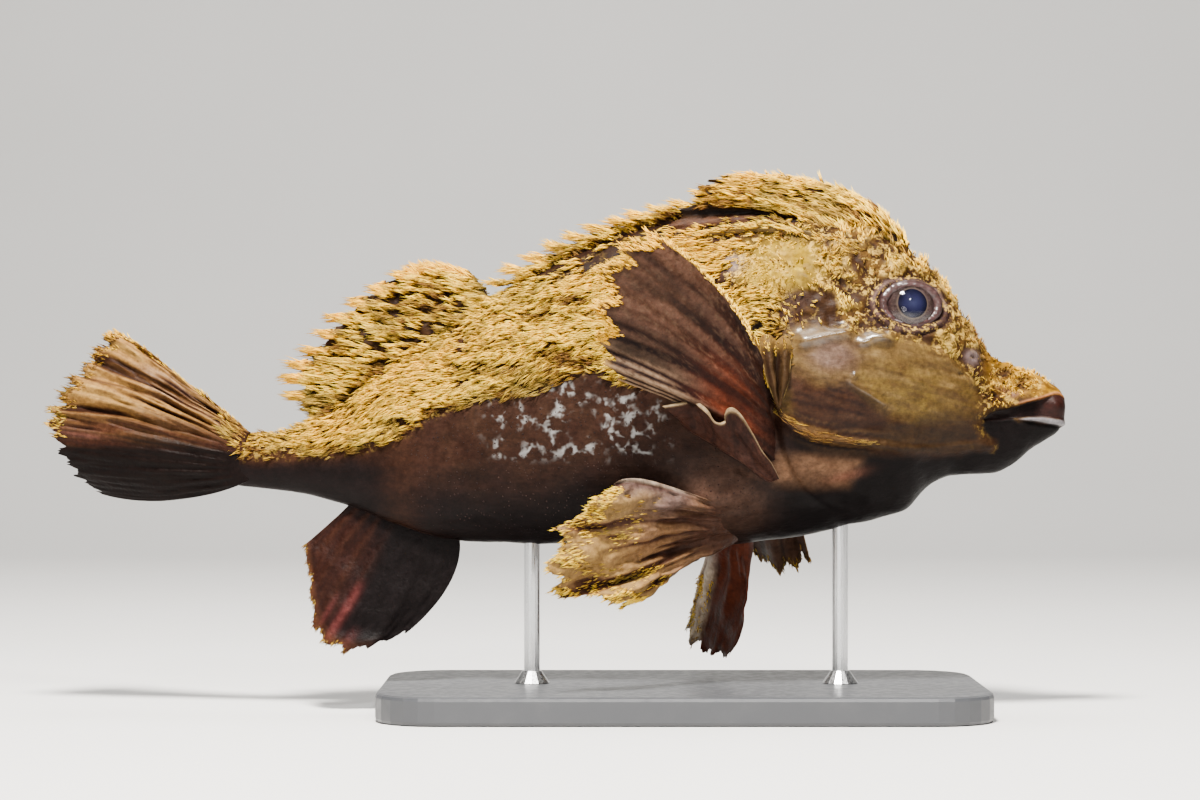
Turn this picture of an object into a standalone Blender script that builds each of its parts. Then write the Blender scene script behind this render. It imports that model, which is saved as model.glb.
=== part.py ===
"""Smooth horsefish with a shaggy growth of algae, a life-size still model on a plain display stand.

The fish faces +X and its right side faces -Y. The origin is the centre of the stand's underside.
Places on the fish are given as (s, y, h) in millimetres: s behind the tip of the snout, y to the
left of the middle of the body, and h above the body's axis.
"""

import math

import bmesh
import bpy
import numpy as np
from mathutils import Matrix, Vector

# Driving dimensions, in metres
TOTAL_LENGTH = 0.505
AXIS_HEIGHT = 0.150
SNOUT_X = 0.191
TOUCHING_GAP = 0.0003

# The tables below are drawn in millimetres on a fish of this total length
DRAWN_LENGTH = 505.0
MM = TOTAL_LENGTH / DRAWN_LENGTH

# The tail swings gently to the fish's left behind this station
BEND_START = 260.0
BEND_LENGTH = 245.0
BEND_AT_TAIL_TIP = 26.0

# Body stations: s, top, bottom, half width, share of the depth where the body is widest
BODY_STATIONS = [
    (0.0, 5.0, -3.5, 2.5, 0.50),
    (1.0, 8.5, -7.0, 5.5, 0.50),
    (3.5, 12.0, -10.5, 8.0, 0.50),
    (8.5, 16.5, -14.0, 9.5, 0.48),
    (16.0, 20.5, -18.5, 11.0, 0.46),
    (25.0, 23.5, -26.0, 13.0, 0.45),
    (33.5, 27.0, -30.5, 15.5, 0.44),
    (41.0, 34.0, -31.5, 18.5, 0.44),
    (50.0, 50.0, -32.0, 21.5, 0.46),
    (58.5, 62.5, -33.0, 24.5, 0.50),
    (68.5, 75.0, -38.0, 27.0, 0.52),
    (78.5, 84.0, -48.0, 29.5, 0.50),
    (91.0, 91.5, -52.5, 31.5, 0.47),
    (111.0, 97.0, -57.5, 34.0, 0.44),
    (131.0, 99.5, -62.0, 36.0, 0.42),
    (151.0, 99.5, -64.5, 37.0, 0.40),
    (181.0, 97.0, -67.0, 36.5, 0.40),
    (211.0, 90.5, -67.5, 34.5, 0.40),
    (241.0, 80.0, -67.0, 31.0, 0.42),
    (271.0, 65.0, -66.0, 26.5, 0.44),
    (291.0, 52.5, -65.5, 23.0, 0.46),
    (311.0, 40.0, -63.5, 19.0, 0.48),
    (331.0, 27.0, -58.0, 15.5, 0.50),
    (351.0, 12.0, -50.0, 12.5, 0.50),
    (366.0, 1.0, -45.0, 10.5, 0.50),
    (381.0, -6.5, -41.5, 9.0, 0.50),
    (396.0, -9.5, -39.5, 8.0, 0.50),
    (409.0, -9.5, -38.0, 6.5, 0.50),
    (417.0, -10.0, -37.0, 4.5, 0.50),
]
BACK_KEEL = 1.28
BELLY_KEEL = 0.92

# Where the head ends: on the nape, at the side of the gill opening, and under the throat
NAPE_END = 133.0
GILL_END = 145.0
THROAT_END = 82.0
TAIL_STALK_START = 345.0
GILL_COVER_RAISE = 2.2
CHEEK_RAISE = 1.6
CHEEK_EDGE = [(20.0, -16.0), (50.0, -12.0), (92.0, -18.0), (118.0, -12.0), (150.0, 8.0)]

AROUND = 26
HEAD_RINGS = 22
TORSO_RINGS = 16
STALK_RINGS = 6
SNOUT_CROWDING = 1.35

# Eyes: place and tilt on the right side, mirrored for the left
EYE_PLACE = (76.0, 16.5, 54.5)
EYE_RADIUS = 15.0
EYE_DEPTH = 11.0
EYE_UP_TILT = 12.0
EYE_FORWARD_TILT = 9.0
LID_RADIUS = 3.0
LID_OPENING = (16.6, 13.2)

# Mouth: outline of the gape from the side, cut in as far as the inner mouth, which widens backwards
GAPE_TOP = [(-4.0, 7.6), (2.0, 7.2), (11.0, 6.0), (21.0, 1.4), (25.0, -3.0)]
GAPE_BOTTOM = [(16.0, -4.2), (6.0, -4.2), (-4.0, -5.2)]
GAPE_REACH = 22.0
INNER_MOUTH_AT_TIP = 4.6
INNER_MOUTH_GROWTH = 0.24
MOUTH_OPENING = {"place": (-3.0, 0.0, 1.6), "reach": (9.0, 3.2, 3.6)}
LIP_RINGS = 19
LIP_PATH_TOP = [(24.5, 12.6, -1.2), (15, 11.0, 5.6), (6.5, 8.6, 8.2), (1.5, 4.6, 8.8), (0.4, 0, 8.9)]
LIP_PATH_BOTTOM = [(24.5, 12.8, -3.8), (15, 10.6, -6.2), (6.5, 8.2, -6.4), (1.6, 4.4, -7.2), (0.6, 0, -7.6)]
UPPER_LIP_RADIUS = 1.5
LOWER_LIP_RADIUS = 1.9
JAW_CORNER = (24.5, -2.5)
JAW_SLOPE = 44.5
NOSTRILS = [(30.0, 17.0), (42.0, 15.0)]
NOSTRIL_RADIUS = 1.9

# Fins: each guide is a ray as four Bezier points (s, y, h), and the rays are spread between the guides
CAUDAL_GUIDES = [
    [(408, 0, -11), (432, 3, 8), (456, 8, 27), (481, 13, 43)],
    [(410, 0, -17), (436, -1, 0), (468, 0, 16), (499, 4, 21)],
    [(410, 0, -23), (440, -4, -17), (478, -7, -8), (513, -5, -3)],
    [(410, 0, -29), (440, -3, -31), (474, -4, -29), (507, -1, -25)],
    [(408, 0, -35), (430, 2, -43), (458, 7, -51), (490, 9, -41)],
]
SOFT_DORSAL_GUIDES = [
    [(286, 0, 51), (287, 0, 58), (291, 1, 64), (298, 2, 69)],
    [(304, 0, 39), (306, 0, 54), (312, 3, 66), (322, 6, 73)],
    [(324, 0, 27), (328, 0, 40), (337, 4, 51), (350, 8, 58)],
    [(342, 0, 15), (347, 0, 25), (357, 3, 33), (371, 6, 38)],
    [(358, 0, 3), (364, 0, 10), (372, 2, 16), (382, 3, 20)],
    [(368, 0, -5), (371, 0, -4), (375, 1, -1), (380, 2, 2)],
]
ANAL_GUIDES = [
    [(303, 0, -60), (298, 0, -78), (312, -1, -98), (331, -2, -113)],
    [(315, 0, -58), (319, 0, -80), (330, -3, -104), (346, -5, -118)],
    [(327, 0, -55), (336, 0, -76), (348, -5, -104), (362, -8, -121)],
    [(338, 0, -51), (350, 0, -69), (364, -5, -93), (375, -7, -112)],
    [(348, 0, -47), (359, 0, -58), (370, -2, -73), (378, -3, -88)],
    [(355, 0, -44), (364, 0, -54), (372, 0, -60), (381, 0, -68)],
]
CREST_GUIDES = [
    [(73, 0, 66), (80, -1, 105), (114, -3, 119), (176, -6, 117)],
    [(92, 0, 76), (100, -1, 104), (132, -4, 110), (184, -7, 112)],
    [(110, 0, 82), (118, -2, 101), (146, -4, 104), (187, -8, 108)],
    [(126, 0, 85), (134, -2, 98), (156, -4, 99), (182, -8, 103)],
]
PECTORAL_RIGHT_GUIDES = [
    [(146, -28, 4), (151, -48, 34), (168, -62, 62), (199, -72, 79)],
    [(146, -28, -4), (155, -48, 22), (184, -64, 52), (222, -76, 68)],
    [(146, -28, -11), (158, -47, 10), (192, -62, 33), (229, -72, 50)],
    [(145, -28, -19), (160, -46, -1), (194, -59, 15), (230, -66, 31)],
    [(144, -28, -30), (158, -44, -12), (186, -50, 2), (225, -58, 15)],
]
PECTORAL_LEFT_GUIDES = [
    [(146, 28, 4), (142, 58, -8), (130, 92, -42), (118, 112, -84)],
    [(146, 28, -6), (146, 62, -22), (141, 98, -55), (132, 118, -89)],
    [(146, 28, -14), (152, 60, -30), (155, 98, -58), (150, 124, -82)],
    [(145, 28, -22), (158, 54, -38), (170, 88, -56), (172, 116, -70)],
    [(144, 28, -30), (160, 48, -44), (182, 74, -52), (190, 98, -56)],
]
PELVIC_RIGHT_GUIDES = [
    [(163, -14, -44), (185, -40, -47), (204, -54, -28), (224, -62, -33)],
    [(164, -13, -48), (190, -42, -50), (215, -58, -44), (241, -72, -46)],
    [(165, -11, -51), (190, -38, -56), (225, -60, -58), (256, -76, -63)],
    [(166, -9, -54), (192, -34, -64), (225, -56, -74), (257, -74, -86)],
    [(167, -7, -57), (185, -28, -70), (208, -46, -82), (231, -60, -92)],
    [(167, -4, -59), (180, -20, -73), (200, -36, -86), (220, -50, -96)],
]
PELVIC_LEFT_GUIDES = [
    [(157, 5, -58), (155, 10, -85), (158, 14, -105), (165, 16, -124)],
    [(163, 7, -58), (162, 20, -84), (165, 30, -106), (172, 38, -127)],
    [(169, 10, -58), (171, 30, -82), (176, 46, -102), (181, 56, -125)],
    [(174, 12, -57), (179, 36, -78), (184, 54, -96), (188, 66, -115)],
]
FIN_ROWS = 7
MEMBRANE = 1.1
RAY_AT_ROOT = 2.6
RAY_AT_TIP = 1.0
FIN_NOTCH = 0.06

# The folded spiny fin along the back: spines raked back from this stretch of the back
BACK_SPINES_START = 170.0
BACK_SPINES_END = 267.0
BACK_SPINE_COUNT = 10
BACK_SPINE_REACH = 17.0
BACK_SPINE_RISE = 8.0
BACK_FIN_SINK = 6.0

# Locks of algae: flat and tapered, rooted in the skin and lying back along it
LOCK_SIDES = 4
LOCK_OUTLINE = [0.55, 0.95, 1.0, 0.62, 0.08]
LOCK_RISE = [-1.0, 0.45, 0.95, 1.0, 0.85]
LOCK_FLATNESS = 0.32
LOCK_SEED = 11
# Flank locks: where their rows start and end, and how far up and down the side they grow
FLANK_LOCK_STATIONS = (162.0, 318.0)
FLANK_LOCK_PITCH = 22.0
FLANK_LOCK_SPREAD = 15.0
FLANK_LOCK_LENGTH = 31.0
FLANK_LOCK_WIDTH = 6.5
FLANK_LOCK_SINK = 3.0
FLANK_LOCK_LIFT = 3.4
MIDLINE_CLEARANCE = 13.0
COAT_EDGE = [(150, 30), (212, 16), (232, 20), (272, 8), (312, -2), (336, -16), (368, -24)]
# Fin locks: rays on which they grow, from root to margin
FIN_LOCK_REACH = 0.56
FIN_LOCK_SINK = 0.9
FIN_LOCK_LIFT = 3.2
FIN_LOCK_WIDTH = 4.6
SOFT_DORSAL_LOCKS = [(u, 0.25) for u in (0.10, 0.27, 0.44, 0.61)] + [(u, 0.51) for u in (0.18, 0.35, 0.53)]
CREST_LOCKS = [(0.06, 0.30), (0.50, 0.34), (0.06, 0.50), (0.45, 0.54), (0.10, 0.70)]
CAUDAL_LOCKS = [(0.06, 0.25), (0.06, 0.58), (0.26, 0.42), (0.26, 0.70)]

# Stand, in metres
BASE_LENGTH = 0.300
BASE_WIDTH = 0.160
BASE_THICKNESS = 0.014
BASE_CORNER = 0.030
BASE_BEVEL = 0.002
ROD_RADIUS = 0.004
COLLAR_RADIUS = 0.009
COLLAR_HEIGHT = 0.006
ROD_STATIONS = {"stand_rod_front": 112.0, "stand_rod_rear": 266.0}

COLOURS = {
    "skin": ((0.115, 0.068, 0.040), 0.45, 0.0),
    "algae": ((0.46, 0.32, 0.09), 0.85, 0.0),
    "fin": ((0.20, 0.105, 0.055), 0.50, 0.0),
    "eye": ((0.06, 0.055, 0.09), 0.08, 0.0),
    "stand": ((0.045, 0.047, 0.052), 0.40, 0.0),
    "steel": ((0.62, 0.63, 0.65), 0.28, 1.0),
}


def clear_scene():
    for old in list(bpy.data.objects):
        bpy.data.objects.remove(old, do_unlink=True)


def new_collection(name, hidden=False):
    made = bpy.data.collections.new(name)
    made.hide_render = hidden
    bpy.context.scene.collection.children.link(made)
    return made


def material(name):
    colour, roughness, metallic = COLOURS[name]
    found = bpy.data.materials.get(name)
    if found:
        return found
    made = bpy.data.materials.new(name)
    made.use_nodes = True
    shader = made.node_tree.nodes["Principled BSDF"]
    shader.inputs["Base Color"].default_value = (*colour, 1.0)
    shader.inputs["Roughness"].default_value = roughness
    shader.inputs["Metallic"].default_value = metallic
    return made


def smooth_curve(knots, values, at):
    """Values between the knots on a smooth curve that never overshoots them."""
    knots = np.asarray(knots, float)
    values = np.asarray(values, float)
    at = np.clip(np.asarray(at, float), knots[0], knots[-1])
    gaps = np.diff(knots)
    slopes = np.diff(values) / gaps
    tangents = np.concatenate([slopes[:1], (slopes[:-1] + slopes[1:]) / 2, slopes[-1:]])
    limit = 3 * np.minimum(
        np.abs(np.concatenate([slopes[:1], slopes])),
        np.abs(np.concatenate([slopes, slopes[-1:]])),
    )
    tangents = np.clip(tangents, -limit, limit)
    i = np.clip(np.searchsorted(knots, at, side="right") - 1, 0, len(gaps) - 1)
    t = (at - knots[i]) / gaps[i]
    return (
        (1 + 2 * t) * (1 - t) ** 2 * values[i]
        + t * (1 - t) ** 2 * gaps[i] * tangents[i]
        + t * t * (3 - 2 * t) * values[i + 1]
        + t * t * (t - 1) * gaps[i] * tangents[i + 1]
    )


def step(low, high, value):
    t = np.clip((np.asarray(value, float) - low) / (high - low), 0, 1)
    return t * t * (3 - 2 * t)


def column(n):
    return [row[n] for row in BODY_STATIONS]


def station(n, s):
    return smooth_curve(column(0), column(n), s)


def back_height(s):
    return float(station(1, s))


def place(points):
    """Points (s, y, h) in millimetres to the model's frame in metres."""
    points = np.asarray(points, float)
    s, y, h = points[..., 0], points[..., 1], points[..., 2]
    bend = BEND_AT_TAIL_TIP * np.clip((s - BEND_START) / BEND_LENGTH, 0, None) ** 2
    return np.stack([SNOUT_X - s * MM, (y + bend) * MM, AXIS_HEIGHT + h * MM], axis=-1)


def body_point(s, a):
    """The body's surface at station s and angle a, which runs from the back (0) down the left side."""
    s, a = np.broadcast_arrays(np.asarray(s, float), np.asarray(a, float))
    top, bottom, width = station(1, s), station(2, s), station(3, s)
    middle = bottom + station(4, s) * (top - bottom)
    sine, cosine = np.sin(a), np.cos(a)
    upper, lower = np.clip(cosine, 0, None), np.clip(-cosine, 0, None)
    keel = 1 + (BACK_KEEL - 1) * upper + (BELLY_KEEL - 1) * lower
    y = np.sign(sine) * width * np.abs(sine) ** keel
    h = middle + (top - middle) * upper - (middle - bottom) * lower
    return np.stack([s, y, h], axis=-1)


def head_end(a):
    """The station where the head ends at angle a: the nape, the gill opening, then the throat."""
    side = np.abs(np.sin(a))
    upper = NAPE_END + (GILL_END - NAPE_END) * side**2
    lower = GILL_END - (GILL_END - THROAT_END) * (1 - side)
    return np.where(np.cos(a) > 0, upper, lower)


def gill_cover(points, a):
    """The head's raised gill cover and cheek plate, as a widening of the head."""
    s, h = points[..., 0], points[..., 2]
    edge = smooth_curve([p[0] for p in CHEEK_EDGE], [p[1] for p in CHEEK_EDGE], s)
    side = np.abs(np.sin(a)) ** 2
    cover = GILL_COVER_RAISE * step(60, 140, s) * side
    cheek = CHEEK_RAISE * step(-5, 5, h - edge) * step(34, 48, s) * side * (1 - step(50, 75, h))
    widened = points.copy()
    widened[..., 1] += np.sign(points[..., 1]) * (cover + cheek)
    return widened


def lofted(name, rings):
    """A closed mesh through rings of points, with a fan over each end."""
    count, around, _ = rings.shape
    points = [tuple(p) for ring in rings for p in ring]
    faces = []
    for i in range(count - 1):
        for j in range(around):
            k = (j + 1) % around
            a, b = i * around + j, i * around + k
            faces.append((a, b, b + around, a + around))
    for ring, first in ((rings[0], 0), (rings[-1], (count - 1) * around)):
        centre = len(points)
        points.append(tuple(ring.mean(axis=0)))
        faces += [(first + j, first + (j + 1) % around, centre) for j in range(around)]
    return mesh_object(name, points, faces)


def mesh_object(name, points, faces):
    mesh = bpy.data.meshes.new(name)
    mesh.from_pydata(points, [], faces)
    shape = bmesh.new()
    shape.from_mesh(mesh)
    bmesh.ops.recalc_face_normals(shape, faces=shape.faces)
    shape.to_mesh(mesh)
    shape.free()
    made = bpy.data.objects.new(name, mesh)
    bpy.context.scene.collection.objects.link(made)
    return made


def rings_between(start, end, count, crowding):
    """Body rings whose stations slide from one boundary curve to another, crowded if need be."""
    a = np.linspace(0, 2 * math.pi, AROUND, endpoint=False)
    shares = np.linspace(0, 1, count) ** crowding
    return a, [start(a) + (end(a) - start(a)) * share for share in shares]


def body_part(name, start, end, count, raised, grow):
    """One length of the body between two boundary curves, grown along its normals by a small gap."""
    a, stations = rings_between(start, end, count, SNOUT_CROWDING if raised else 1.0)
    rings = []
    for s in stations:
        ring = body_point(s, a)
        if raised:
            ring = gill_cover(ring, a)
        rings.append(place(ring))
    part = lofted(name, np.array(rings))
    if grow:
        grow_mesh(part, grow)
    return part


def grow_mesh(obj, distance):
    normals = [v.normal.copy() for v in obj.data.vertices]
    for vertex, normal in zip(obj.data.vertices, normals):
        vertex.co += normal * distance


def level(value):
    return lambda a: np.full_like(a, value)


def body_parts(grow=0.0, tag=""):
    """The head, trunk and tail stalk, cut apart by thin gaps along their boundary curves."""
    gap = 0.5 * TOUCHING_GAP / MM
    head = body_part("head" + tag, level(0.0), lambda a: head_end(a) - gap, HEAD_RINGS, True, grow)
    torso = body_part(
        "torso" + tag, lambda a: head_end(a) + gap, level(TAIL_STALK_START - gap), TORSO_RINGS, False, grow
    )
    tail_end = level(BODY_STATIONS[-1][0])
    stalk = body_part("tail_stalk" + tag, level(TAIL_STALK_START + gap), tail_end, STALK_RINGS, False, grow)
    return head, torso, stalk


def in_triangles(obj):
    shape = bmesh.new()
    shape.from_mesh(obj.data)
    bmesh.ops.triangulate(shape, faces=shape.faces)
    shape.to_mesh(obj.data)
    shape.free()


def join(obj, operation, others):
    """One Boolean of the object with several closed meshes, applied, after which they are removed."""
    group = bpy.data.collections.new("operands")
    bpy.context.scene.collection.children.link(group)
    in_triangles(obj)
    for other in others:
        in_triangles(other)
        for owner in list(other.users_collection):
            owner.objects.unlink(other)
        group.objects.link(other)
    modifier = obj.modifiers.new(operation.lower(), "BOOLEAN")
    modifier.operation = operation
    modifier.solver = "MANIFOLD"
    modifier.operand_type = "COLLECTION"
    modifier.collection = group
    bpy.context.view_layer.update()
    evaluated = obj.evaluated_get(bpy.context.evaluated_depsgraph_get())
    result = bpy.data.meshes.new_from_object(evaluated)
    obj.modifiers.clear()
    obj.data = result
    for other in list(group.objects):
        bpy.data.objects.remove(other, do_unlink=True)
    bpy.data.collections.remove(group)
    return obj


def copy_of(obj):
    made = bpy.data.objects.new(obj.name + "_copy", obj.data.copy())
    made.matrix_world = obj.matrix_world.copy()
    bpy.context.scene.collection.objects.link(made)
    return made


def keep_largest(obj):
    """Keeps the largest closed surface of the mesh and drops loose scraps."""
    shape = bmesh.new()
    shape.from_mesh(obj.data)
    bmesh.ops.triangulate(shape, faces=shape.faces)
    left, islands = set(shape.verts), []
    while left:
        seed = left.pop()
        island, edge = {seed}, [seed]
        while edge:
            vertex = edge.pop()
            for link in vertex.link_edges:
                other = link.other_vert(vertex)
                if other in left:
                    left.discard(other)
                    island.add(other)
                    edge.append(other)
        islands.append(island)
    islands.sort(key=len, reverse=True)
    scraps = [v for island in islands[1:] for v in island]
    bmesh.ops.delete(shape, geom=scraps, context="VERTS")
    shape.to_mesh(obj.data)
    shape.free()
    return obj


def finish(obj, name, colour, collection):
    for owner in list(obj.users_collection):
        owner.objects.unlink(obj)
    collection.objects.link(obj)
    obj.name = name
    obj.data.name = name
    obj.data.materials.clear()
    obj.data.materials.append(material(colour))
    obj.data.shade_smooth()
    obj.data.set_sharp_from_angle(angle=math.radians(40))


def bezier(control, v):
    """Points on Bezier curves: control (..., 4, 3) and v of the same leading shape."""
    v = v[..., None]
    w = 1 - v
    return (
        w**3 * control[..., 0, :]
        + 3 * w * w * v * control[..., 1, :]
        + 3 * w * v * v * control[..., 2, :]
        + v**3 * control[..., 3, :]
    )


def between_guides(guides, u):
    """Control points of the ray at share u across the fin, on a Catmull-Rom curve through the guides."""
    guides = np.asarray(guides, float)
    last = len(guides) - 1
    at = np.clip(u, 0, 1) * last
    i = np.clip(at.astype(int), 0, last - 1)
    t = (at - i)[..., None, None]
    p0, p1 = guides[np.clip(i - 1, 0, last)], guides[i]
    p2, p3 = guides[i + 1], guides[np.clip(i + 2, 0, last)]
    return p1 + 0.5 * t * (p2 - p0 + t * (2 * p0 - 5 * p1 + 4 * p2 - p3 + t * (3 * (p1 - p2) + p3 - p0)))


def fin_middle(guides, u, v):
    return place(bezier(between_guides(guides, u), v))


def fin_grid(rays, rows, notch):
    """Shares across and along a fin, with a ridge on each ray and the margin notched between rays."""
    u = np.linspace(0, 1, 2 * rays - 1)
    ridge = np.array([1.0, 0.0] * (rays - 1) + [1.0])
    ends = 1 - notch * (1 - ridge)
    v = np.linspace(0, 1, rows)[:, None] * ends[None, :]
    return np.broadcast_to(u, v.shape), v, np.broadcast_to(ridge, v.shape)


def fan_fin(name, guides, rays, rows=FIN_ROWS, pleat=0.8, notch=FIN_NOTCH, growth=(0.0, 0.0)):
    """A membrane with raised rays, thick at the root and thin at the margin, under a growth of algae."""
    u, v, ridge = fin_grid(rays, rows, notch)
    centre = fin_middle(guides, u, v)
    along = np.gradient(centre, axis=0)
    across = np.gradient(centre, axis=1)
    normal = np.cross(along, across)
    normal /= np.linalg.norm(normal, axis=-1, keepdims=True) + 1e-12
    half = 0.5 * MM * (MEMBRANE + ridge * (RAY_AT_ROOT * (1 - v) + RAY_AT_TIP * v))
    half = half + 0.5 * MM * (1.6 * np.clip(1 - v / 0.25, 0, 1) + growth[0] * (1 - v) + growth[1] * v)
    wave = pleat * MM * v * np.cos(u * math.pi * (rays - 1))
    centre = centre + normal * wave[..., None]
    return sheet_solid(name, centre + normal * half[..., None], centre - normal * half[..., None])


def sheet_solid(name, front, back):
    """A closed thin solid between two grids of points, split into triangles alike on both faces."""
    rows, cols, _ = front.shape
    points = [tuple(p) for p in front.reshape(-1, 3)] + [tuple(p) for p in back.reshape(-1, 3)]
    behind = rows * cols
    faces = []
    for i in range(rows - 1):
        for j in range(cols - 1):
            a, b = i * cols + j, i * cols + j + 1
            c, d = b + cols, a + cols
            faces += [(a, b, c), (a, c, d)]
            faces += [(a + behind, c + behind, b + behind), (a + behind, d + behind, c + behind)]
    rim = [j for j in range(cols)]
    rim += [i * cols + cols - 1 for i in range(1, rows)]
    rim += [(rows - 1) * cols + j for j in range(cols - 2, -1, -1)]
    rim += [i * cols for i in range(rows - 2, 0, -1)]
    for a, b in zip(rim, rim[1:] + rim[:1]):
        faces += [(a, b, b + behind), (a, b + behind, a + behind)]
    return mesh_object(name, points, faces)


def across_surface(surface, place_at):
    """A point on a surface and the unit normal there, for two shares or measures that name the place."""
    first, second = place_at
    small = 0.01
    here = surface(first, second)
    normal = np.cross(surface(first + small, second) - here, surface(first, second + small) - here)
    return here, normal / np.linalg.norm(normal)


def lock(surface, start, travel, width, sink, lift, outwards):
    """One flat, tapered lock whose root is sunk in the surface and whose tip lies back along it."""
    path, normals = [], []
    for share, rise in zip(np.linspace(0, 1, len(LOCK_RISE)), LOCK_RISE):
        point, normal = across_surface(surface, np.array(start) + np.array(travel) * share)
        height = sink * rise if rise < 0 else lift * rise
        path.append(point + normal * outwards * height * MM)
        normals.append(normal)
    return swept(
        "lock",
        np.array(path),
        np.array(LOCK_OUTLINE) * width * MM,
        np.mean(normals, axis=0),
        LOCK_SIDES,
        LOCK_FLATNESS,
    )


def skin_surface(s, a):
    return place(body_point(s, a))


def flank_locks():
    """Rows of locks down both flanks, each row set between the locks of the row before."""
    random = np.random.default_rng(LOCK_SEED)
    locks = []
    for side in (-1, 1):
        for row, s in enumerate(np.arange(*FLANK_LOCK_STATIONS, FLANK_LOCK_PITCH)):
            top, width = back_height(s), float(station(3, s))
            edge = float(smooth_curve([p[0] for p in COAT_EDGE], [p[1] for p in COAT_EDGE], s))
            first = math.asin(min(1.0, MIDLINE_CLEARANCE / width) ** (1 / BACK_KEEL))
            last = side_angle(s, edge)
            count = max(1, round((last - first) * (top - edge) / (1.3 * FLANK_LOCK_SPREAD)))
            for n in range(count):
                share = (n + 0.5 * (row % 2)) / count
                a = first + (last - first) * share
                length = FLANK_LOCK_LENGTH * random.uniform(0.85, 1.1)
                sag = random.uniform(-0.02, 0.10)
                at = s + random.uniform(-3, 3)
                locks.append(
                    lock(
                        skin_surface,
                        (at, side * a),
                        (length, side * sag),
                        FLANK_LOCK_WIDTH * random.uniform(0.85, 1.15),
                        FLANK_LOCK_SINK,
                        FLANK_LOCK_LIFT * random.uniform(0.85, 1.2),
                        -1,
                    )
                )
    return locks


def fin_locks(guides, places, half_thickness):
    """Locks on both faces of a fin that lie along its rays."""
    random = np.random.default_rng(LOCK_SEED)
    locks = []

    def surface(u, v):
        return fin_middle(guides, np.array(u), np.array(v))

    for side in (-1, 1):
        for u, v in places:
            reach = min(FIN_LOCK_REACH, 1.0 - v) * random.uniform(0.9, 1.05)
            locks.append(
                lock(
                    surface,
                    (u + random.uniform(-0.02, 0.02), v),
                    (random.uniform(-0.03, 0.03), reach),
                    FIN_LOCK_WIDTH * random.uniform(0.85, 1.15),
                    FIN_LOCK_SINK - half_thickness,
                    half_thickness + FIN_LOCK_LIFT,
                    side,
                )
            )
    return locks


def back_spine_guides():
    """The folded spines behind the crest, each raked back from the ridge of the back."""
    guides = []
    for root in np.linspace(BACK_SPINES_START, BACK_SPINES_END, BACK_SPINE_COUNT):
        tip = root + BACK_SPINE_REACH
        low, high = back_height(root) - BACK_FIN_SINK, back_height(tip) + BACK_SPINE_RISE
        guides.append(
            [
                (root, 0, low),
                (root + 2, 0, low + 0.45 * (high - low) + 3),
                (root + 8, -1, high - 2),
                (tip, -2, high),
            ]
        )
    return guides


def smooth_path(points, count):
    """Evenly shared points on a Catmull-Rom curve through the given ones."""
    points = np.asarray(points, float)
    last = len(points) - 1
    at = np.linspace(0, last, count)
    i = np.clip(at.astype(int), 0, last - 1)
    t = (at - i)[:, None]
    p0, p1 = points[np.clip(i - 1, 0, last)], points[i]
    p2, p3 = points[i + 1], points[np.clip(i + 2, 0, last)]
    return p1 + 0.5 * t * (p2 - p0 + t * (2 * p0 - 5 * p1 + 4 * p2 - p3 + t * (3 * (p1 - p2) + p3 - p0)))


def swept(name, path, radii, up, sides, flatness=1.0):
    """A closed rod of the given radii along a path of points in metres."""
    along = np.gradient(path, axis=0)
    along /= np.linalg.norm(along, axis=1, keepdims=True)
    across = np.cross(along, up)
    across /= np.linalg.norm(across, axis=1, keepdims=True)
    over = np.cross(across, along)
    a = np.linspace(0, 2 * math.pi, sides, endpoint=False)
    rings = (
        path[:, None]
        + across[:, None] * np.cos(a)[None, :, None] * radii[:, None, None]
        + over[:, None] * np.sin(a)[None, :, None] * radii[:, None, None] * flatness
    )
    return lofted(name, rings)


def lip(name, half_path, radius):
    """A lip round the front of the mouth, from one corner to the other."""
    right = [(s, -y, h) for s, y, h in half_path]
    left = [(s, y, h) for s, y, h in reversed(half_path[:-1])]
    path = place(smooth_path(right + left, LIP_RINGS))
    slim = 0.6 + 0.4 * np.sin(np.linspace(0, math.pi, LIP_RINGS)) ** 0.5
    return swept(name, path, radius * MM * slim, np.array([0.0, 0.0, 1.0]), 8)


def gape_cutter(side):
    """One side of the gape, a wedge that runs back from the lips to the corner of the mouth."""
    outline = GAPE_TOP + GAPE_BOTTOM
    inner = [(s, side * (INNER_MOUTH_AT_TIP + INNER_MOUTH_GROWTH * max(s, 0)), h) for s, h in outline]
    outer = [(s, side * GAPE_REACH, h) for s, h in outline]
    return lofted("gape", place(np.array([inner, outer])))


def mouth_opening():
    """The round opening between the lips, seen from the front."""
    bpy.ops.mesh.primitive_uv_sphere_add(segments=12, ring_count=8, radius=1)
    opening = bpy.context.active_object
    centre = Vector(place(MOUTH_OPENING["place"]))
    reach = Matrix.Diagonal((*(MM * r for r in MOUTH_OPENING["reach"]), 1))
    opening.data.transform(Matrix.Translation(centre) @ reach)
    return opening


def eye_frame(side):
    """The eye's centre and a matrix whose Z axis looks out of the head."""
    s, y, h = EYE_PLACE
    centre = Vector(place((s, y * side, h)))
    up, forward = math.radians(EYE_UP_TILT), math.radians(EYE_FORWARD_TILT)
    out = Vector((math.sin(forward), side * math.cos(forward) * math.cos(up), math.sin(up))).normalized()
    along = Vector((0, 0, 1)).cross(out).normalized()
    return Matrix.Translation(centre) @ Matrix((along, out.cross(along), out)).transposed().to_4x4()


def eyeball(name, side, grow=0.0):
    bpy.ops.mesh.primitive_uv_sphere_add(segments=18, ring_count=9, radius=1)
    ball = bpy.context.active_object
    ball.name = name
    radius, depth = EYE_RADIUS * MM + grow, EYE_DEPTH * MM + grow
    ball.data.transform(eye_frame(side) @ Matrix.Diagonal((radius, radius, depth, 1)))
    return ball


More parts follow.
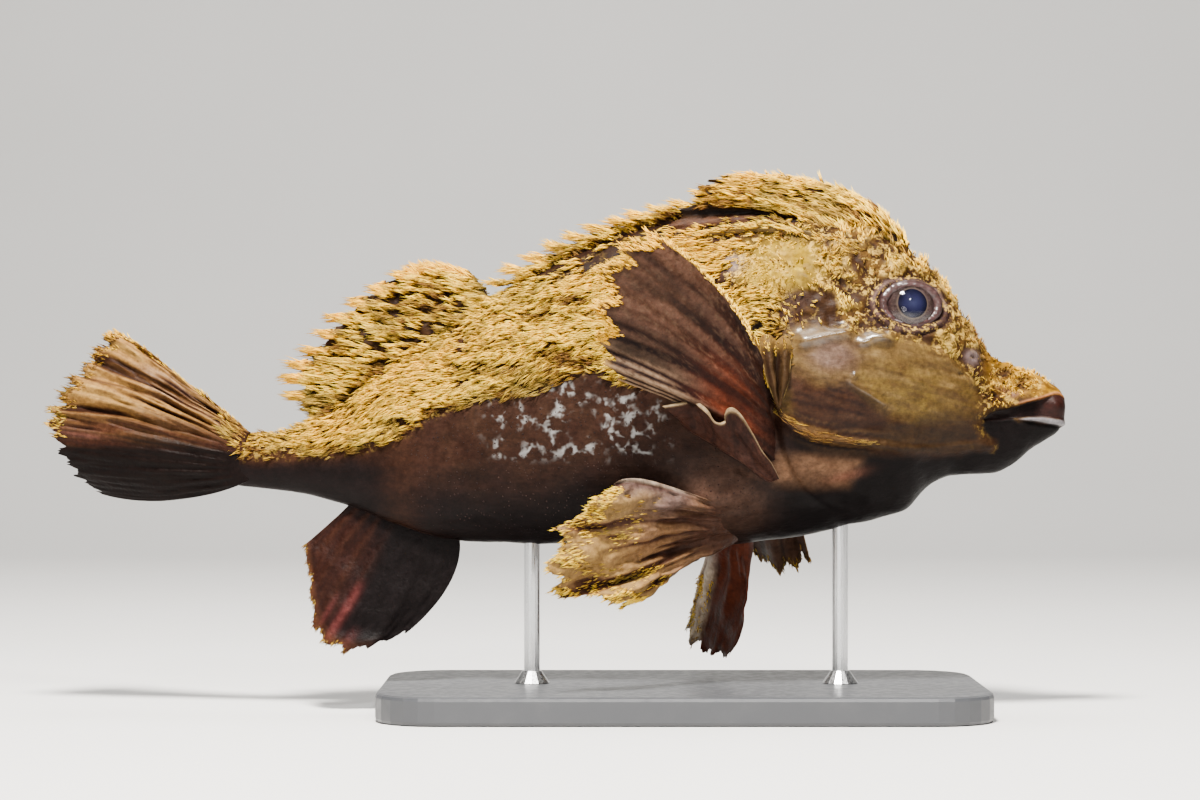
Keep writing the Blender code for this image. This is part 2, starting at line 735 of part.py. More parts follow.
def eyelids(side):
    """The fleshy rim round the eye, wider than tall."""
    bpy.ops.mesh.primitive_torus_add(major_segments=22, minor_segments=6, major_radius=1, minor_radius=0.17)
    ring = bpy.context.active_object
    wide, tall = LID_OPENING
    scale = Matrix.Diagonal((wide * MM, tall * MM, 1.3 * LID_RADIUS / 0.17 * MM, 1))
    ring.data.transform(eye_frame(side) @ Matrix.Translation((0, 0, 5.2 * MM)) @ scale)
    return ring


def side_angle(s, h):
    """The angle round the body at which the surface has height h, on the left side."""
    top, bottom = float(station(1, s)), float(station(2, s))
    middle = bottom + float(station(4, s)) * (top - bottom)
    share = (h - middle) / (top - middle) if h > middle else (h - middle) / (middle - bottom)
    return math.acos(max(-1.0, min(1.0, share)))


def nostril(s, h, side):
    """(rim, pit) of a nostril that opens on the side of the snout."""
    point = body_point(s, side_angle(s, h))
    ahead = body_point(s - 1, side_angle(s, h))
    above = body_point(s, side_angle(s, h) - 0.05)
    centre = Vector(place(point * (1, side, 1)))
    along = Vector(place(ahead * (1, side, 1))) - centre
    up = Vector(place(above * (1, side, 1))) - centre
    out = along.cross(up).normalized() * -side
    turn = out.to_track_quat("Z", "Y").to_matrix().to_4x4()
    size = NOSTRIL_RADIUS * MM
    bpy.ops.mesh.primitive_torus_add(
        major_segments=8, minor_segments=5, major_radius=size, minor_radius=size * 0.45
    )
    rim = bpy.context.active_object
    rim.data.transform(Matrix.Translation(centre) @ turn)
    bpy.ops.mesh.primitive_cylinder_add(vertices=8, radius=size * 0.8, depth=size * 3)
    pit = bpy.context.active_object
    pit.data.transform(Matrix.Translation(centre) @ turn)
    return rim, pit


def jaw_block(grow):
    """Everything below the plane that parts the lower jaw from the head."""
    s, h = JAW_CORNER
    slope = math.radians(JAW_SLOPE)
    down = np.array([math.cos(slope), -math.sin(slope)])
    out = np.array([-math.sin(slope), -math.cos(slope)])
    front = np.array([s - 40.0, h])
    corner = np.array([s, h])
    shift = out * -grow / MM
    ends = [front + (0, -grow / MM * -1), corner + shift, corner + shift + down * 70, front + (0, -70)]
    rings = np.array([[(p[0], y, p[1]) for p in ends] for y in (-40.0, 40.0)])
    return lofted("jaw_block", place(rings))


def build_head(head, fish):
    """Eyes, lids, mouth, lips and nostrils worked into the head, which is then parted from the jaw."""
    rims, pits = [], []
    for s, h in NOSTRILS:
        for side in (-1, 1):
            rim, pit = nostril(s, h, side)
            rims.append(rim)
            pits.append(pit)
    join(head, "UNION", [eyelids(-1), eyelids(1)] + rims)
    sockets = [eyeball("socket", side, TOUCHING_GAP) for side in (-1, 1)]
    join(head, "DIFFERENCE", sockets + pits + [gape_cutter(-1), gape_cutter(1), mouth_opening()])
    jaw = copy_of(head)
    join(jaw, "INTERSECT", [jaw_block(0.0)])
    join(head, "DIFFERENCE", [jaw_block(TOUCHING_GAP)])
    join(head, "UNION", [lip("upper_lip", LIP_PATH_TOP, UPPER_LIP_RADIUS)])
    join(jaw, "UNION", [lip("lower_lip", LIP_PATH_BOTTOM, LOWER_LIP_RADIUS)])
    finish(keep_largest(head), "head", "skin", fish)
    finish(keep_largest(jaw), "lower_jaw", "skin", fish)
    for side, name in ((-1, "eye_right"), (1, "eye_left")):
        finish(eyeball(name, side), name, "eye", fish)


FINS = {
    "caudal_fin": (CAUDAL_GUIDES, 12, 7, 1.2),
    "soft_dorsal_fin": (SOFT_DORSAL_GUIDES, 12, 5, 1.0),
    "anal_fin": (ANAL_GUIDES, 9, 6, 1.0),
    "dorsal_crest": (CREST_GUIDES, 4, 9, 0.4, 0.04, (9.0, 4.0)),
    "pectoral_fin_right": (PECTORAL_RIGHT_GUIDES, 10, 8, 1.4),
    "pectoral_fin_left": (PECTORAL_LEFT_GUIDES, 10, 8, 1.4),
    "pelvic_fin_right": (PELVIC_RIGHT_GUIDES, 6, 7, 1.4),
    "pelvic_fin_left": (PELVIC_LEFT_GUIDES, 6, 7, 1.2),
}


FIN_GROWTH = {
    "soft_dorsal_fin": (SOFT_DORSAL_LOCKS, 1.5),
    "dorsal_crest": (CREST_LOCKS, 4.2),
    "caudal_fin": (CAUDAL_LOCKS, 1.4),
}


def build_fins(fish):
    """Each fin, its root cut to the body that it grows from."""
    made = {name: fan_fin(name, *sizes) for name, sizes in FINS.items()}
    made["spiny_dorsal_fin"] = fan_fin(
        "spiny_dorsal_fin", back_spine_guides(), BACK_SPINE_COUNT, rows=4, pleat=0.0, notch=0.35
    )
    for name, (places, half_thickness) in FIN_GROWTH.items():
        join(made[name], "UNION", fin_locks(FINS[name][0], places, half_thickness))
        keep_largest(made[name])
    for name, fin in made.items():
        clear_of = list(body_parts(TOUCHING_GAP, "_clearance"))
        if name == "spiny_dorsal_fin":
            clear_of.append(copy_of(made["dorsal_crest"]))
            grow_mesh(clear_of[-1], TOUCHING_GAP)
        join(fin, "DIFFERENCE", clear_of)
        finish(keep_largest(fin), name, "algae" if "dorsal" in name else "fin", fish)


def build_stand(fish):
    bpy.ops.mesh.primitive_cube_add(size=1, location=(0, 0, BASE_THICKNESS / 2))
    base = bpy.context.active_object
    base.scale = (BASE_LENGTH, BASE_WIDTH, BASE_THICKNESS)
    bpy.ops.object.transform_apply(location=True, rotation=False, scale=True)
    shape = bmesh.new()
    shape.from_mesh(base.data)
    uprights = [e for e in shape.edges if abs(e.verts[0].co.z - e.verts[1].co.z) > BASE_THICKNESS / 2]
    bmesh.ops.bevel(shape, geom=uprights, offset=BASE_CORNER, segments=6, profile=0.5, affect="EDGES")
    shape.to_mesh(base.data)
    shape.free()
    edge = base.modifiers.new("rounded edge", "BEVEL")
    edge.width = BASE_BEVEL
    edge.segments = 2
    finish(base, "stand_base", "stand", fish)
    for name, s in ROD_STATIONS.items():
        finish(rod(name, s), name, "steel", fish)


def rod(name, s):
    """A round rod with a collar at its foot, cut off where it meets the belly."""
    x, y, belly = place((s, 0, float(station(2, s))))
    foot = BASE_THICKNESS + TOUCHING_GAP
    top = belly + 0.012
    bpy.ops.mesh.primitive_cylinder_add(
        vertices=16, radius=ROD_RADIUS, depth=top - foot, location=(x, y, (top + foot) / 2)
    )
    upright = bpy.context.active_object
    bpy.ops.mesh.primitive_cone_add(
        vertices=16,
        radius1=COLLAR_RADIUS,
        radius2=ROD_RADIUS * 1.2,
        depth=COLLAR_HEIGHT,
        location=(x, y, foot + COLLAR_HEIGHT / 2),
    )
    collar = bpy.context.active_object
    for piece in (upright, collar):
        piece.data.transform(piece.matrix_world)
        piece.matrix_world = Matrix.Identity(4)
    join(upright, "UNION", [collar])
    join(upright, "DIFFERENCE", list(body_parts(TOUCHING_GAP, "_clearance")))
    return keep_largest(upright)


def main():
    clear_scene()
    fish = new_collection("horsefish")
    head, torso, stalk = body_parts()
    build_head(head, fish)
    join(torso, "UNION", flank_locks())
    finish(keep_largest(torso), "torso", "skin", fish)
    finish(stalk, "tail_stalk", "skin", fish)
    build_fins(fish)
    build_stand(fish)


main()
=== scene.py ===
"""A smooth horsefish under a shaggy growth of golden algae, life size, on a plain display stand.

The fish faces +X and its right side faces the camera at -Y. Places on it are given as (s, y, h) in
millimetres: s behind the tip of the snout, y to the left of its middle, h above its long axis.
"""

import math

import bmesh
import bpy
import numpy as np
from mathutils import Matrix, Vector


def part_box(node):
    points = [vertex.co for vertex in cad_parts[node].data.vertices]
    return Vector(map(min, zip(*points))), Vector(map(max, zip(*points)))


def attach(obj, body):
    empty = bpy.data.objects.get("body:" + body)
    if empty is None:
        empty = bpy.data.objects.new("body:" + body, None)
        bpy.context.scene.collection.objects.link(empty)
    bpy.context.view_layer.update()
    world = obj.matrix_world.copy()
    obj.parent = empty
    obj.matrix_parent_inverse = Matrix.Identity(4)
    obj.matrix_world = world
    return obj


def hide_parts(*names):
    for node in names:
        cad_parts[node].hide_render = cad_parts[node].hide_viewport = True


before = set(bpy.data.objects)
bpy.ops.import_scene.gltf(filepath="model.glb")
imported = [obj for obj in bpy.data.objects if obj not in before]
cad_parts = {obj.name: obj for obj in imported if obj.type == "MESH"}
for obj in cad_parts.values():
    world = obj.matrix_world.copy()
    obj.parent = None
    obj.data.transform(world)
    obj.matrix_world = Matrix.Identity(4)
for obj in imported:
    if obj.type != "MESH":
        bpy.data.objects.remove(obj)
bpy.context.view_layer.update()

# The frame gives the scale's two anchors: the end of the tail stalk and the lowest point of the belly
MM = 0.001
STALK_END = 417.0
BELLY_DEPTH = 67.5
SNOUT_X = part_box("tail_stalk")[0].x + STALK_END * MM
AXIS_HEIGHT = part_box("torso")[0].z + BELLY_DEPTH * MM
BEND_START = 260.0
BEND_LENGTH = 245.0
BEND_AT_TAIL_TIP = 26.0

# Body stations: s, top, bottom, half width, share of the depth where the body is widest
BODY_STATIONS = [
    (0.0, 5.0, -3.5, 2.5, 0.50),
    (1.0, 8.5, -7.0, 5.5, 0.50),
    (3.5, 12.0, -10.5, 8.0, 0.50),
    (8.5, 16.5, -14.0, 9.5, 0.48),
    (16.0, 20.5, -18.5, 11.0, 0.46),
    (25.0, 23.5, -26.0, 13.0, 0.45),
    (33.5, 27.0, -30.5, 15.5, 0.44),
    (41.0, 34.0, -31.5, 18.5, 0.44),
    (50.0, 50.0, -32.0, 21.5, 0.46),
    (58.5, 62.5, -33.0, 24.5, 0.50),
    (68.5, 75.0, -38.0, 27.0, 0.52),
    (78.5, 84.0, -48.0, 29.5, 0.50),
    (91.0, 91.5, -52.5, 31.5, 0.47),
    (111.0, 97.0, -57.5, 34.0, 0.44),
    (131.0, 99.5, -62.0, 36.0, 0.42),
    (151.0, 99.5, -64.5, 37.0, 0.40),
    (181.0, 97.0, -67.0, 36.5, 0.40),
    (211.0, 90.5, -67.5, 34.5, 0.40),
    (241.0, 80.0, -67.0, 31.0, 0.42),
    (271.0, 65.0, -66.0, 26.5, 0.44),
    (291.0, 52.5, -65.5, 23.0, 0.46),
    (311.0, 40.0, -63.5, 19.0, 0.48),
    (331.0, 27.0, -58.0, 15.5, 0.50),
    (351.0, 12.0, -50.0, 12.5, 0.50),
    (366.0, 1.0, -45.0, 10.5, 0.50),
    (381.0, -6.5, -41.5, 9.0, 0.50),
    (396.0, -9.5, -39.5, 8.0, 0.50),
    (409.0, -9.5, -38.0, 6.5, 0.50),
    (417.0, -10.0, -37.0, 4.5, 0.50),
]
BACK_KEEL = 1.28
BELLY_KEEL = 0.92

# Skin rings: (from, to, spacing) along the fish, closest together at the snout
RING_SPACING = [
    (0.0, 30.0, 0.5), (30.0, 100.0, 0.8), (100.0, 160.0, 1.2), (160.0, 345.0, 2.4), (345.0, 417.0, 2.0),
]
SKIN_AROUND = 296

# Head
GILL_EDGE = {"nape": 133.0, "side": 145.0, "throat": 82.0}
GILL_COVER_RAISE = 2.2
GILL_GROOVE = 1.8
CHEEK_EDGE = [
    (20, -17), (36, -17), (50, -17.5), (66, -18.5), (86, -17.5), (102, -15.5), (116, -14), (126, -12),
    (138, -7), (147, 1), (152, 6),
]
GAPE_TOP = [
    (0.0, 5.0), (2.0, 7.4), (5.0, 8.3), (11.0, 6.6), (20.5, 4.2), (28.5, 1.9), (36.0, 0.4), (43.0, -4.0),
]
GAPE_BOTTOM = [(0.0, -4.8), (4.0, -4.0), (9.0, -3.4), (13.0, -3.1), (24.0, -3.6), (34.0, -4.6), (43.0, -5.0)]
LIP_THICKNESS = [(0.0, 1.7), (4.0, 1.5), (12.0, 1.25), (18.0, 0.75), (25.0, 0.4)]
GAPE_END = 43.0
LIP_END = 25.0
GAPE_DEPTH = 2.4
NOSTRILS = [(30.5, 13.6), (47.0, 27.0)]
FACE_PITS = [(36.0, 8.0), (44.0, 14.0), (54.0, 18.0)]

# Wet ridges of the cheek that catch the light, each a line from (s, h) to (s, h), its height and half width
WET_RIDGES = [
    (132, 34, 112, 38.5, 3.0, 5.5),
    (104, 33, 90, 37.5, 2.3, 4.2),
    (108, 17.5, 110.5, 13.5, 1.2, 2.0),
    (110.5, 13.5, 103, 9.5, 1.5, 2.3),
    (103, 9.5, 93.5, 3.5, 1.4, 2.2),
]
# The brown shaded rear of the cheek, an outline of (s, h)
SHADED_CHEEK = [(142, 22), (126, 15), (109, 15), (94, 2), (84, -5), (96, -14), (120, -16), (142, -4)]
# Folds of the cheek, each a line from (s, h) to (s, h), its height and width
CHEEK_FOLDS = [
    (100, 38, 91, 34.5, 1.8, 2.4), (60, 25, 47, 13, 0.8, 1.8), (96, 24, 76, 14, 0.5, 3.0),
    (128, 26, 118, 12, 0.7, 2.6), (34, 12.5, 27, 8.5, 0.9, 1.3),
]
# Pink folds on the side of the snout, in the same form
SNOUT_FOLDS = [(34, 12.5, 27, 8.5, 1.0, 1.6), (27, 8.5, 22, 9.5, 0.8, 1.2)]
# The hole behind the cheek, sunk and painted near black as shade, as (s, h), and its size
DARK_HOLE = (154.5, 40.0)
DARK_HOLE_SIZE = 6.5
# Hollows between the lumps of growth on the head, sunk, bare and painted dark as shade, in the same form
HEAD_HOLLOWS = [
    (128, 68, 112, 63, 1.0, 2.6), (112, 63, 95, 60, 1.0, 2.6), (62, 50, 54, 37, 0.8, 2.2),
    (84, 35, 66, 34, 0.8, 1.9), (118, 88, 98, 84, 0.8, 2.0), (134, 56, 124, 50, 0.8, 2.2),
    (50, 22, 42, 14, 0.8, 2.2),
]
EYE_PLACE = (79.8, 16.5, 51.0)
EYE_RADIUS = 14.2
EYE_DEPTH = 11.2
EYE_UP_TILT = 12.0
EYE_FORWARD_TILT = 9.0
PUPIL_RADIUS = 7.2
IRIS_RADIUS = 11.4
LID_OPENING = (14.0, 9.9)
LID_RADIUS = 1.9
LID_HEIGHT = 6.2

# Zones of the head, each an outline of (s, h)
SMOOTH_CHEEK = [
    (143, 36), (134, 42), (118, 40.5), (106, 38), (95, 38), (84, 36.5), (73, 33), (62, 28), (53, 20),
    (46, 10), (43, 0), (37, -5), (35, -15), (44, -20), (62, -22), (86, -21), (112, -17), (132, -9),
    (146, 2), (146, 12),
]
# The jaw below the cheek's lower ridge: sunk, and painted near black as shade
SHADED_JAW = [
    (0, -4.5), (24, -4.0), (24.5, 2.0), (30, 3.2), (37, 1.0), (43, -2.0), (45.5, -7), (43, -12.5), (36, -16),
    (38, -18.4), (50, -21), (66, -22.5), (86, -21.5), (104, -19), (122, -16.5), (138, -11.5), (148, -4),
    (152, -2), (152, -80), (0, -80),
]
PALE_SHOULDER = [(104, -24), (122, -21.5), (143, -22), (150, -27), (146, -35), (128, -37), (110, -36)]
SMOOTH_NAPE = [(126, 84), (150, 86), (165, 76), (164, 64), (148, 58), (131, 62), (124, 72)]
# Rounded marks on the side of the fish, each by its middle (s, h)
BARE_NAPE_SPOT = (166.0, 74.0)
BARE_FACE_SPOT = (47, 27)
CHEEK_PUFF = (112, 20)
LILAC_CHEEK = (119, 27)
SNOUT_SIDE = (45, 4)
LIP_TIP = (5, 3)
PELVIC_MUSCLE = (172, -44)
# Where the algae grows: its lower edge along the flank, as (s, h)
COAT_EDGE = [
    (128, 26), (150, 24), (180, 23), (212, 13), (232, 20), (272, 9), (292, 5), (312, -1), (336, -15),
    (417, -24),
]
FACE_COAT_EDGE = [
    (10, 10), (20, 6), (30, 3), (40, 2), (46, 6), (60, 24), (100, 30), (124, 30), (134, 10), (145, 6),
]

# Fins: each guide is a ray as four Bezier points (s, y, h), and the rays are spread between the guides
CAUDAL_GUIDES = [
    [(408, 0, -11), (432, 3, 8), (456, 8, 27), (481, 13, 43)],
    [(410, 0, -17), (436, -1, 0), (468, 0, 16), (499, 4, 21)],
    [(410, 0, -23), (440, -4, -17), (478, -7, -8), (513, -5, -3)],
    [(410, 0, -29), (440, -3, -31), (474, -4, -29), (507, -1, -25)],
    [(408, 0, -35), (430, 2, -43), (458, 7, -51), (490, 9, -41)],
]
SOFT_DORSAL_GUIDES = [
    [(286, 0, 51), (287, 0, 58), (291, 1, 64), (298, 2, 69)],
    [(304, 0, 39), (306, 0, 54), (312, 3, 66), (322, 6, 73)],
    [(324, 0, 27), (328, 0, 40), (337, 4, 51), (350, 8, 58)],
    [(342, 0, 15), (347, 0, 25), (357, 3, 33), (371, 6, 38)],
    [(358, 0, 3), (364, 0, 10), (372, 2, 16), (382, 3, 20)],
    [(368, 0, -5), (371, 0, -4), (375, 1, -1), (380, 2, 2)],
]
ANAL_GUIDES = [
    [(303, 0, -60), (298, 0, -78), (312, -1, -98), (331, -2, -113)],
    [(315, 0, -58), (319, 0, -80), (330, -3, -104), (346, -5, -118)],
    [(327, 0, -55), (336, 0, -76), (348, -5, -104), (362, -8, -121)],
    [(338, 0, -51), (350, 0, -69), (364, -5, -93), (375, -7, -112)],
    [(348, 0, -47), (359, 0, -58), (370, -2, -73), (378, -3, -88)],
    [(355, 0, -44), (364, 0, -54), (372, 0, -60), (381, 0, -68)],
]
CREST_GUIDES = [
    [(73, 0, 66), (80, -1, 105), (114, -3, 119), (176, -6, 117)],
    [(92, 0, 76), (100, -1, 104), (132, -4, 110), (184, -7, 112)],
    [(110, 0, 82), (118, -2, 101), (146, -4, 104), (187, -8, 108)],
    [(120, -4, 82), (130, -7, 96), (160, -9, 100), (202, -7, 91)],
    [(122, -12, 80), (136, -15, 92), (160, -15, 94), (200, -12, 80)],
]
PECTORAL_RIGHT_GUIDES = [
    [(146, -28, 4), (153, -48, 35), (173, -62, 66), (210, -72, 87)],
    [(146, -28, -4), (156, -48, 22), (188, -64, 54), (229, -76, 73)],
    [(146, -28, -11), (159, -47, 10), (195, -62, 34), (235, -72, 52)],
    [(145, -28, -19), (160, -46, -1), (196, -59, 16), (234, -66, 32)],
    [(144, -28, -30), (158, -44, -12), (186, -50, 2), (225, -58, 15)],
]
PECTORAL_LEFT_GUIDES = [
    [(146, 28, 4), (142, 58, -8), (130, 92, -42), (118, 112, -84)],
    [(146, 28, -6), (146, 62, -22), (141, 98, -55), (132, 118, -89)],
    [(146, 28, -14), (152, 60, -30), (155, 98, -58), (150, 124, -82)],
    [(145, 28, -22), (158, 54, -38), (170, 88, -56), (172, 116, -70)],
    [(144, 28, -30), (160, 48, -44), (182, 74, -52), (190, 98, -56)],
]
PELVIC_RIGHT_GUIDES = [
    [(163, -14, -44), (185, -40, -47), (204, -54, -28), (224, -62, -33)],
    [(164, -13, -48), (190, -42, -50), (215, -58, -44), (241, -72, -46)],
    [(165, -11, -51), (190, -38, -56), (225, -60, -58), (256, -76, -63)],
    [(166, -9, -54), (192, -34, -64), (225, -56, -74), (257, -74, -86)],
    [(167, -7, -57), (185, -28, -70), (208, -46, -82), (231, -60, -92)],
    [(167, -4, -59), (180, -20, -73), (200, -36, -86), (220, -50, -96)],
]
PELVIC_LEFT_GUIDES = [
    [(157, 5, -58), (155, 10, -85), (158, 14, -105), (165, 16, -124)],
    [(163, 7, -58), (162, 20, -84), (165, 30, -106), (172, 38, -127)],
    [(169, 10, -58), (171, 30, -82), (176, 46, -102), (181, 56, -125)],
    [(174, 12, -57), (179, 36, -78), (184, 54, -96), (188, 66, -115)],
]
BACK_SPINES_START = 152.0
BACK_SPINES_END = 267.0
BACK_SPINE_COUNT = 12
BACK_SPINE_REACH = 17.0
BACK_SPINE_RISE = 7.0
BACK_FIN_SINK = 6.0

# Algae tufts: their pitch in millimetres, and how many times closer they stand around the body
COAT_SEED = 23
TUFT_PITCH = 2.35
HEAD_TUFTS = 2.1
TRUNK_TUFTS = 1.65
STRANDS_A_CHEEK = 60
# Clear skin round the lids, in millimetres
EYE_CLEARANCE = 4.0
MAX_BLADES_A_PIECE = 19000
BLADE_SHARES = np.array([0.0, 0.5])
BLADE_WIDTHS = np.array([1.0, 0.85])

# The ruffled flap at the foot of the right pectoral fin: its free edge and its root, as (s, y, h)
RUFFLE_EDGE = [
    (202, -55, 2.6), (192.5, -52, 4.5), (187.5, -50, 6.5), (183, -53, 3.5), (179.5, -55, 0),
    (177, -54, -4.3), (174, -52, -5.5), (171.2, -51, -3.7), (170.6, -53, 1), (167.6, -54, 1.8),
    (163.5, -53, -2), (158, -50, -10.7), (154, -47, -18.4), (149, -43, -24.8), (144.6, -38, -33),
]
RUFFLE_ROOT = [(190, -40, -7), (176, -40, -15), (162, -40, -24), (148, -36, -34)]

# How far the painted colours are deepened to suit the strong key light
PAINT_DEPTH = 0.60

# Papillae on the bare skin, in metres
PAPILLA_SPACING = 0.0014
PAPILLA_RADIUS = 0.00042
PAPILLA_DENSITY = 6.0e4
PAPILLA_SIZES = [(0.5, 0.5, 0.25), (1.3, 1.3, 0.60)]

# Camera and stage: the photo's centre and the lens in millimetres, the rest in metres
PHOTO_CENTRE_S = 232.0
PHOTO_CENTRE_H = 5.5
CAMERA_DISTANCE = 1.6
CAMERA_LENS = 96.0
CAMERA_SENSOR = 36.0
STAGE_FRONT = -4.0
STAGE_WIDTH = 9.0
STAGE_DEPTH = 2.6
STAGE_HEIGHT = 3.2
STAGE_CURVE = 1.0
# Each light: name, place, size in metres, power in watts and colour. They all aim at the middle of the fish
FISH_LIGHTS = [
    ("key", (-0.16, -0.70, 1.50), 0.30, 160.0, (1.0, 0.955, 0.89)),
    ("glint", (0.34, -0.98, 0.93), 0.12, 12.0, (1.0, 0.98, 0.95)),
    ("top", (-0.25, 0.35, 1.30), 0.8, 10.0, (1.0, 0.97, 0.93)),
    ("front", (-0.2, -1.9, 0.30), 0.7, 5.0, (1.0, 0.98, 0.95)),
]
BACKDROP_AIM = (0.0, 2.4, 0.7)
ROOM_COLOUR = (0.88, 0.90, 0.94, 1)
ROOM_STRENGTH = 0.06


def smooth_curve(knots, values, at):
    """Values between the knots on a smooth curve that never overshoots them."""
    knots = np.asarray(knots, float)
    values = np.asarray(values, float)
    at = np.clip(np.asarray(at, float), knots[0], knots[-1])
    gaps = np.diff(knots)
    slopes = np.diff(values) / gaps
    tangents = np.concatenate([slopes[:1], (slopes[:-1] + slopes[1:]) / 2, slopes[-1:]])
    limit = 3 * np.minimum(
        np.abs(np.concatenate([slopes[:1], slopes])),
        np.abs(np.concatenate([slopes, slopes[-1:]])),
    )
    tangents = np.clip(tangents, -limit, limit)
    i = np.clip(np.searchsorted(knots, at, side="right") - 1, 0, len(gaps) - 1)
    t = (at - knots[i]) / gaps[i]
    return (
        (1 + 2 * t) * (1 - t) ** 2 * values[i]
        + t * (1 - t) ** 2 * gaps[i] * tangents[i]
        + t * t * (3 - 2 * t) * values[i + 1]
        + t * t * (t - 1) * gaps[i] * tangents[i + 1]
    )


def along_points(points, at):
    return smooth_curve([p[0] for p in points], [p[1] for p in points], at)


def step(low, high, value):
    t = np.clip((np.asarray(value, float) - low) / (high - low), 0, 1)
    return t * t * (3 - 2 * t)


def bell(value, centre, width):
    return np.exp(-(((np.asarray(value, float) - centre) / width) ** 2))


def spot(s, h, middle, size, wide=1.0):
    """1 in the middle (s, h) of a round spot, fading out over its size, and wide times as long."""
    return bell(np.hypot((s - middle[0]) / wide, h - middle[1]), 0, size)


def station(n, s):
    return smooth_curve([row[0] for row in BODY_STATIONS], [row[n] for row in BODY_STATIONS], s)


def place(points):
    """Points (s, y, h) in millimetres to the frame in metres."""
    points = np.asarray(points, float)
    s, y, h = points[..., 0], points[..., 1], points[..., 2]
    bend = BEND_AT_TAIL_TIP * np.clip((s - BEND_START) / BEND_LENGTH, 0, None) ** 2
    return np.stack([SNOUT_X - s * MM, (y + bend) * MM, AXIS_HEIGHT + h * MM], axis=-1)


def body_point(s, a):
    """The body's surface at station s and angle a, which runs from the back (0) down the left side."""
    s, a = np.broadcast_arrays(np.asarray(s, float), np.asarray(a, float))
    top, bottom, width = station(1, s), station(2, s), station(3, s)
    middle = bottom + station(4, s) * (top - bottom)
    sine, cosine = np.sin(a), np.cos(a)
    upper, lower = np.clip(cosine, 0, None), np.clip(-cosine, 0, None)
    keel = 1 + (BACK_KEEL - 1) * upper + (BELLY_KEEL - 1) * lower
    y = np.sign(sine) * width * np.abs(sine) ** keel
    h = middle + (top - middle) * upper - (middle - bottom) * lower
    return np.stack([s, y, h], axis=-1)


def gill_edge(a):
    """The station of the gill cover's rear edge at angle a."""
    side = np.abs(np.sin(a))
    upper = GILL_EDGE["nape"] + (GILL_EDGE["side"] - GILL_EDGE["nape"]) * side**2
    lower = GILL_EDGE["side"] - (GILL_EDGE["side"] - GILL_EDGE["throat"]) * (1 - side)
    return np.where(np.cos(a) > 0, upper, lower)


def hashed(i, j, k, seed):
    n = (i * 73856093) ^ (j * 19349663) ^ (k * 83492791) ^ (seed * 2654435761)
    n = (n ^ (n >> 13)) * 1274126177 & 0xFFFFFFFF
    return ((n ^ (n >> 16)) & 0xFFFF) / 65535.0


def lumps(points, size, seed):
    """Smooth lumps between -1 and 1, about the given size apart."""
    p = np.asarray(points, float) / size
    cell = np.floor(p).astype(np.int64)
    f = p - cell
    f = f * f * (3 - 2 * f)
    total = 0.0
    for di in (0, 1):
        for dj in (0, 1):
            for dk in (0, 1):
                weight = (
                    (f[..., 0] if di else 1 - f[..., 0])
                    * (f[..., 1] if dj else 1 - f[..., 1])
                    * (f[..., 2] if dk else 1 - f[..., 2])
                )
                total = total + weight * hashed(cell[..., 0] + di, cell[..., 1] + dj, cell[..., 2] + dk, seed)
    return 2 * total - 1


def pattern(x, y, z, seed, size=1.0):
    """Smooth lumps over two or three numbers, each an array or a plain number."""
    return lumps(np.stack(np.broadcast_arrays(x, y, z), axis=-1), size, seed)


def unit(vectors):
    return vectors / (np.linalg.norm(vectors, axis=-1, keepdims=True) + 1e-12)


def bezier(control, v):
    v = v[..., None]
    w = 1 - v
    return (
        w**3 * control[..., 0, :]
        + 3 * w * w * v * control[..., 1, :]
        + 3 * w * v * v * control[..., 2, :]
        + v**3 * control[..., 3, :]
    )


def between_guides(guides, u):
    """Control points of the ray at share u across the fin, on a Catmull-Rom curve through the guides."""
    guides = np.asarray(guides, float)
    last = len(guides) - 1
    at = np.clip(u, 0, 1) * last
    i = np.clip(at.astype(int), 0, last - 1)
    t = (at - i)[..., None, None]
    p0, p1 = guides[np.clip(i - 1, 0, last)], guides[i]
    p2, p3 = guides[i + 1], guides[np.clip(i + 2, 0, last)]
    return p1 + 0.5 * t * (p2 - p0 + t * (2 * p0 - 5 * p1 + 4 * p2 - p3 + t * (3 * (p1 - p2) + p3 - p0)))


def fin_middle(guides, u, v):
    """The middle surface of a fin in millimetres."""
    return bezier(between_guides(guides, np.asarray(u, float)), np.asarray(v, float))


def shown(obj):
    bpy.context.scene.collection.objects.link(obj)
    return obj


def mesh_piece(name, points, faces, material, values=None, uv=None):
    """An object from arrays, with named values or colours for its points and a map for its face corners."""
    mesh = bpy.data.meshes.new(name)
    mesh.from_pydata(points, [], faces)
    for key, numbers in (values or {}).items():
        numbers = np.asarray(numbers, dtype=np.float32)
        if numbers.ndim == 2:
            layer = mesh.attributes.new(key, "FLOAT_COLOR", "POINT")
            layer.data.foreach_set("color", np.column_stack([numbers, np.ones(len(numbers))]).ravel())
        else:
            layer = mesh.attributes.new(key, "FLOAT", "POINT")
            layer.data.foreach_set("value", np.ascontiguousarray(numbers))
    if uv is not None:
        layer = mesh.uv_layers.new(name="OFBake")
        layer.uv.foreach_set("vector", np.ascontiguousarray(uv, dtype=np.float32).ravel())
    mesh.shade_smooth()
    mesh.materials.append(material)
    mesh.validate()
    return shown(bpy.data.objects.new(name, mesh))


def fix_normals(obj):
    shape = bmesh.new()
    shape.from_mesh(obj.data)
    bmesh.ops.recalc_face_normals(shape, faces=shape.faces)
    shape.to_mesh(obj.data)
    shape.free()


def feed(tree, node, socket, value):
    """Links a socket to a node's input, or sets the input to a number, vector or colour."""
    target = node.inputs[socket]
    if isinstance(value, bpy.types.NodeSocket):
        tree.links.new(value, target)
    else:
        target.default_value = (*value, 1.0) if target.type == "RGBA" else value


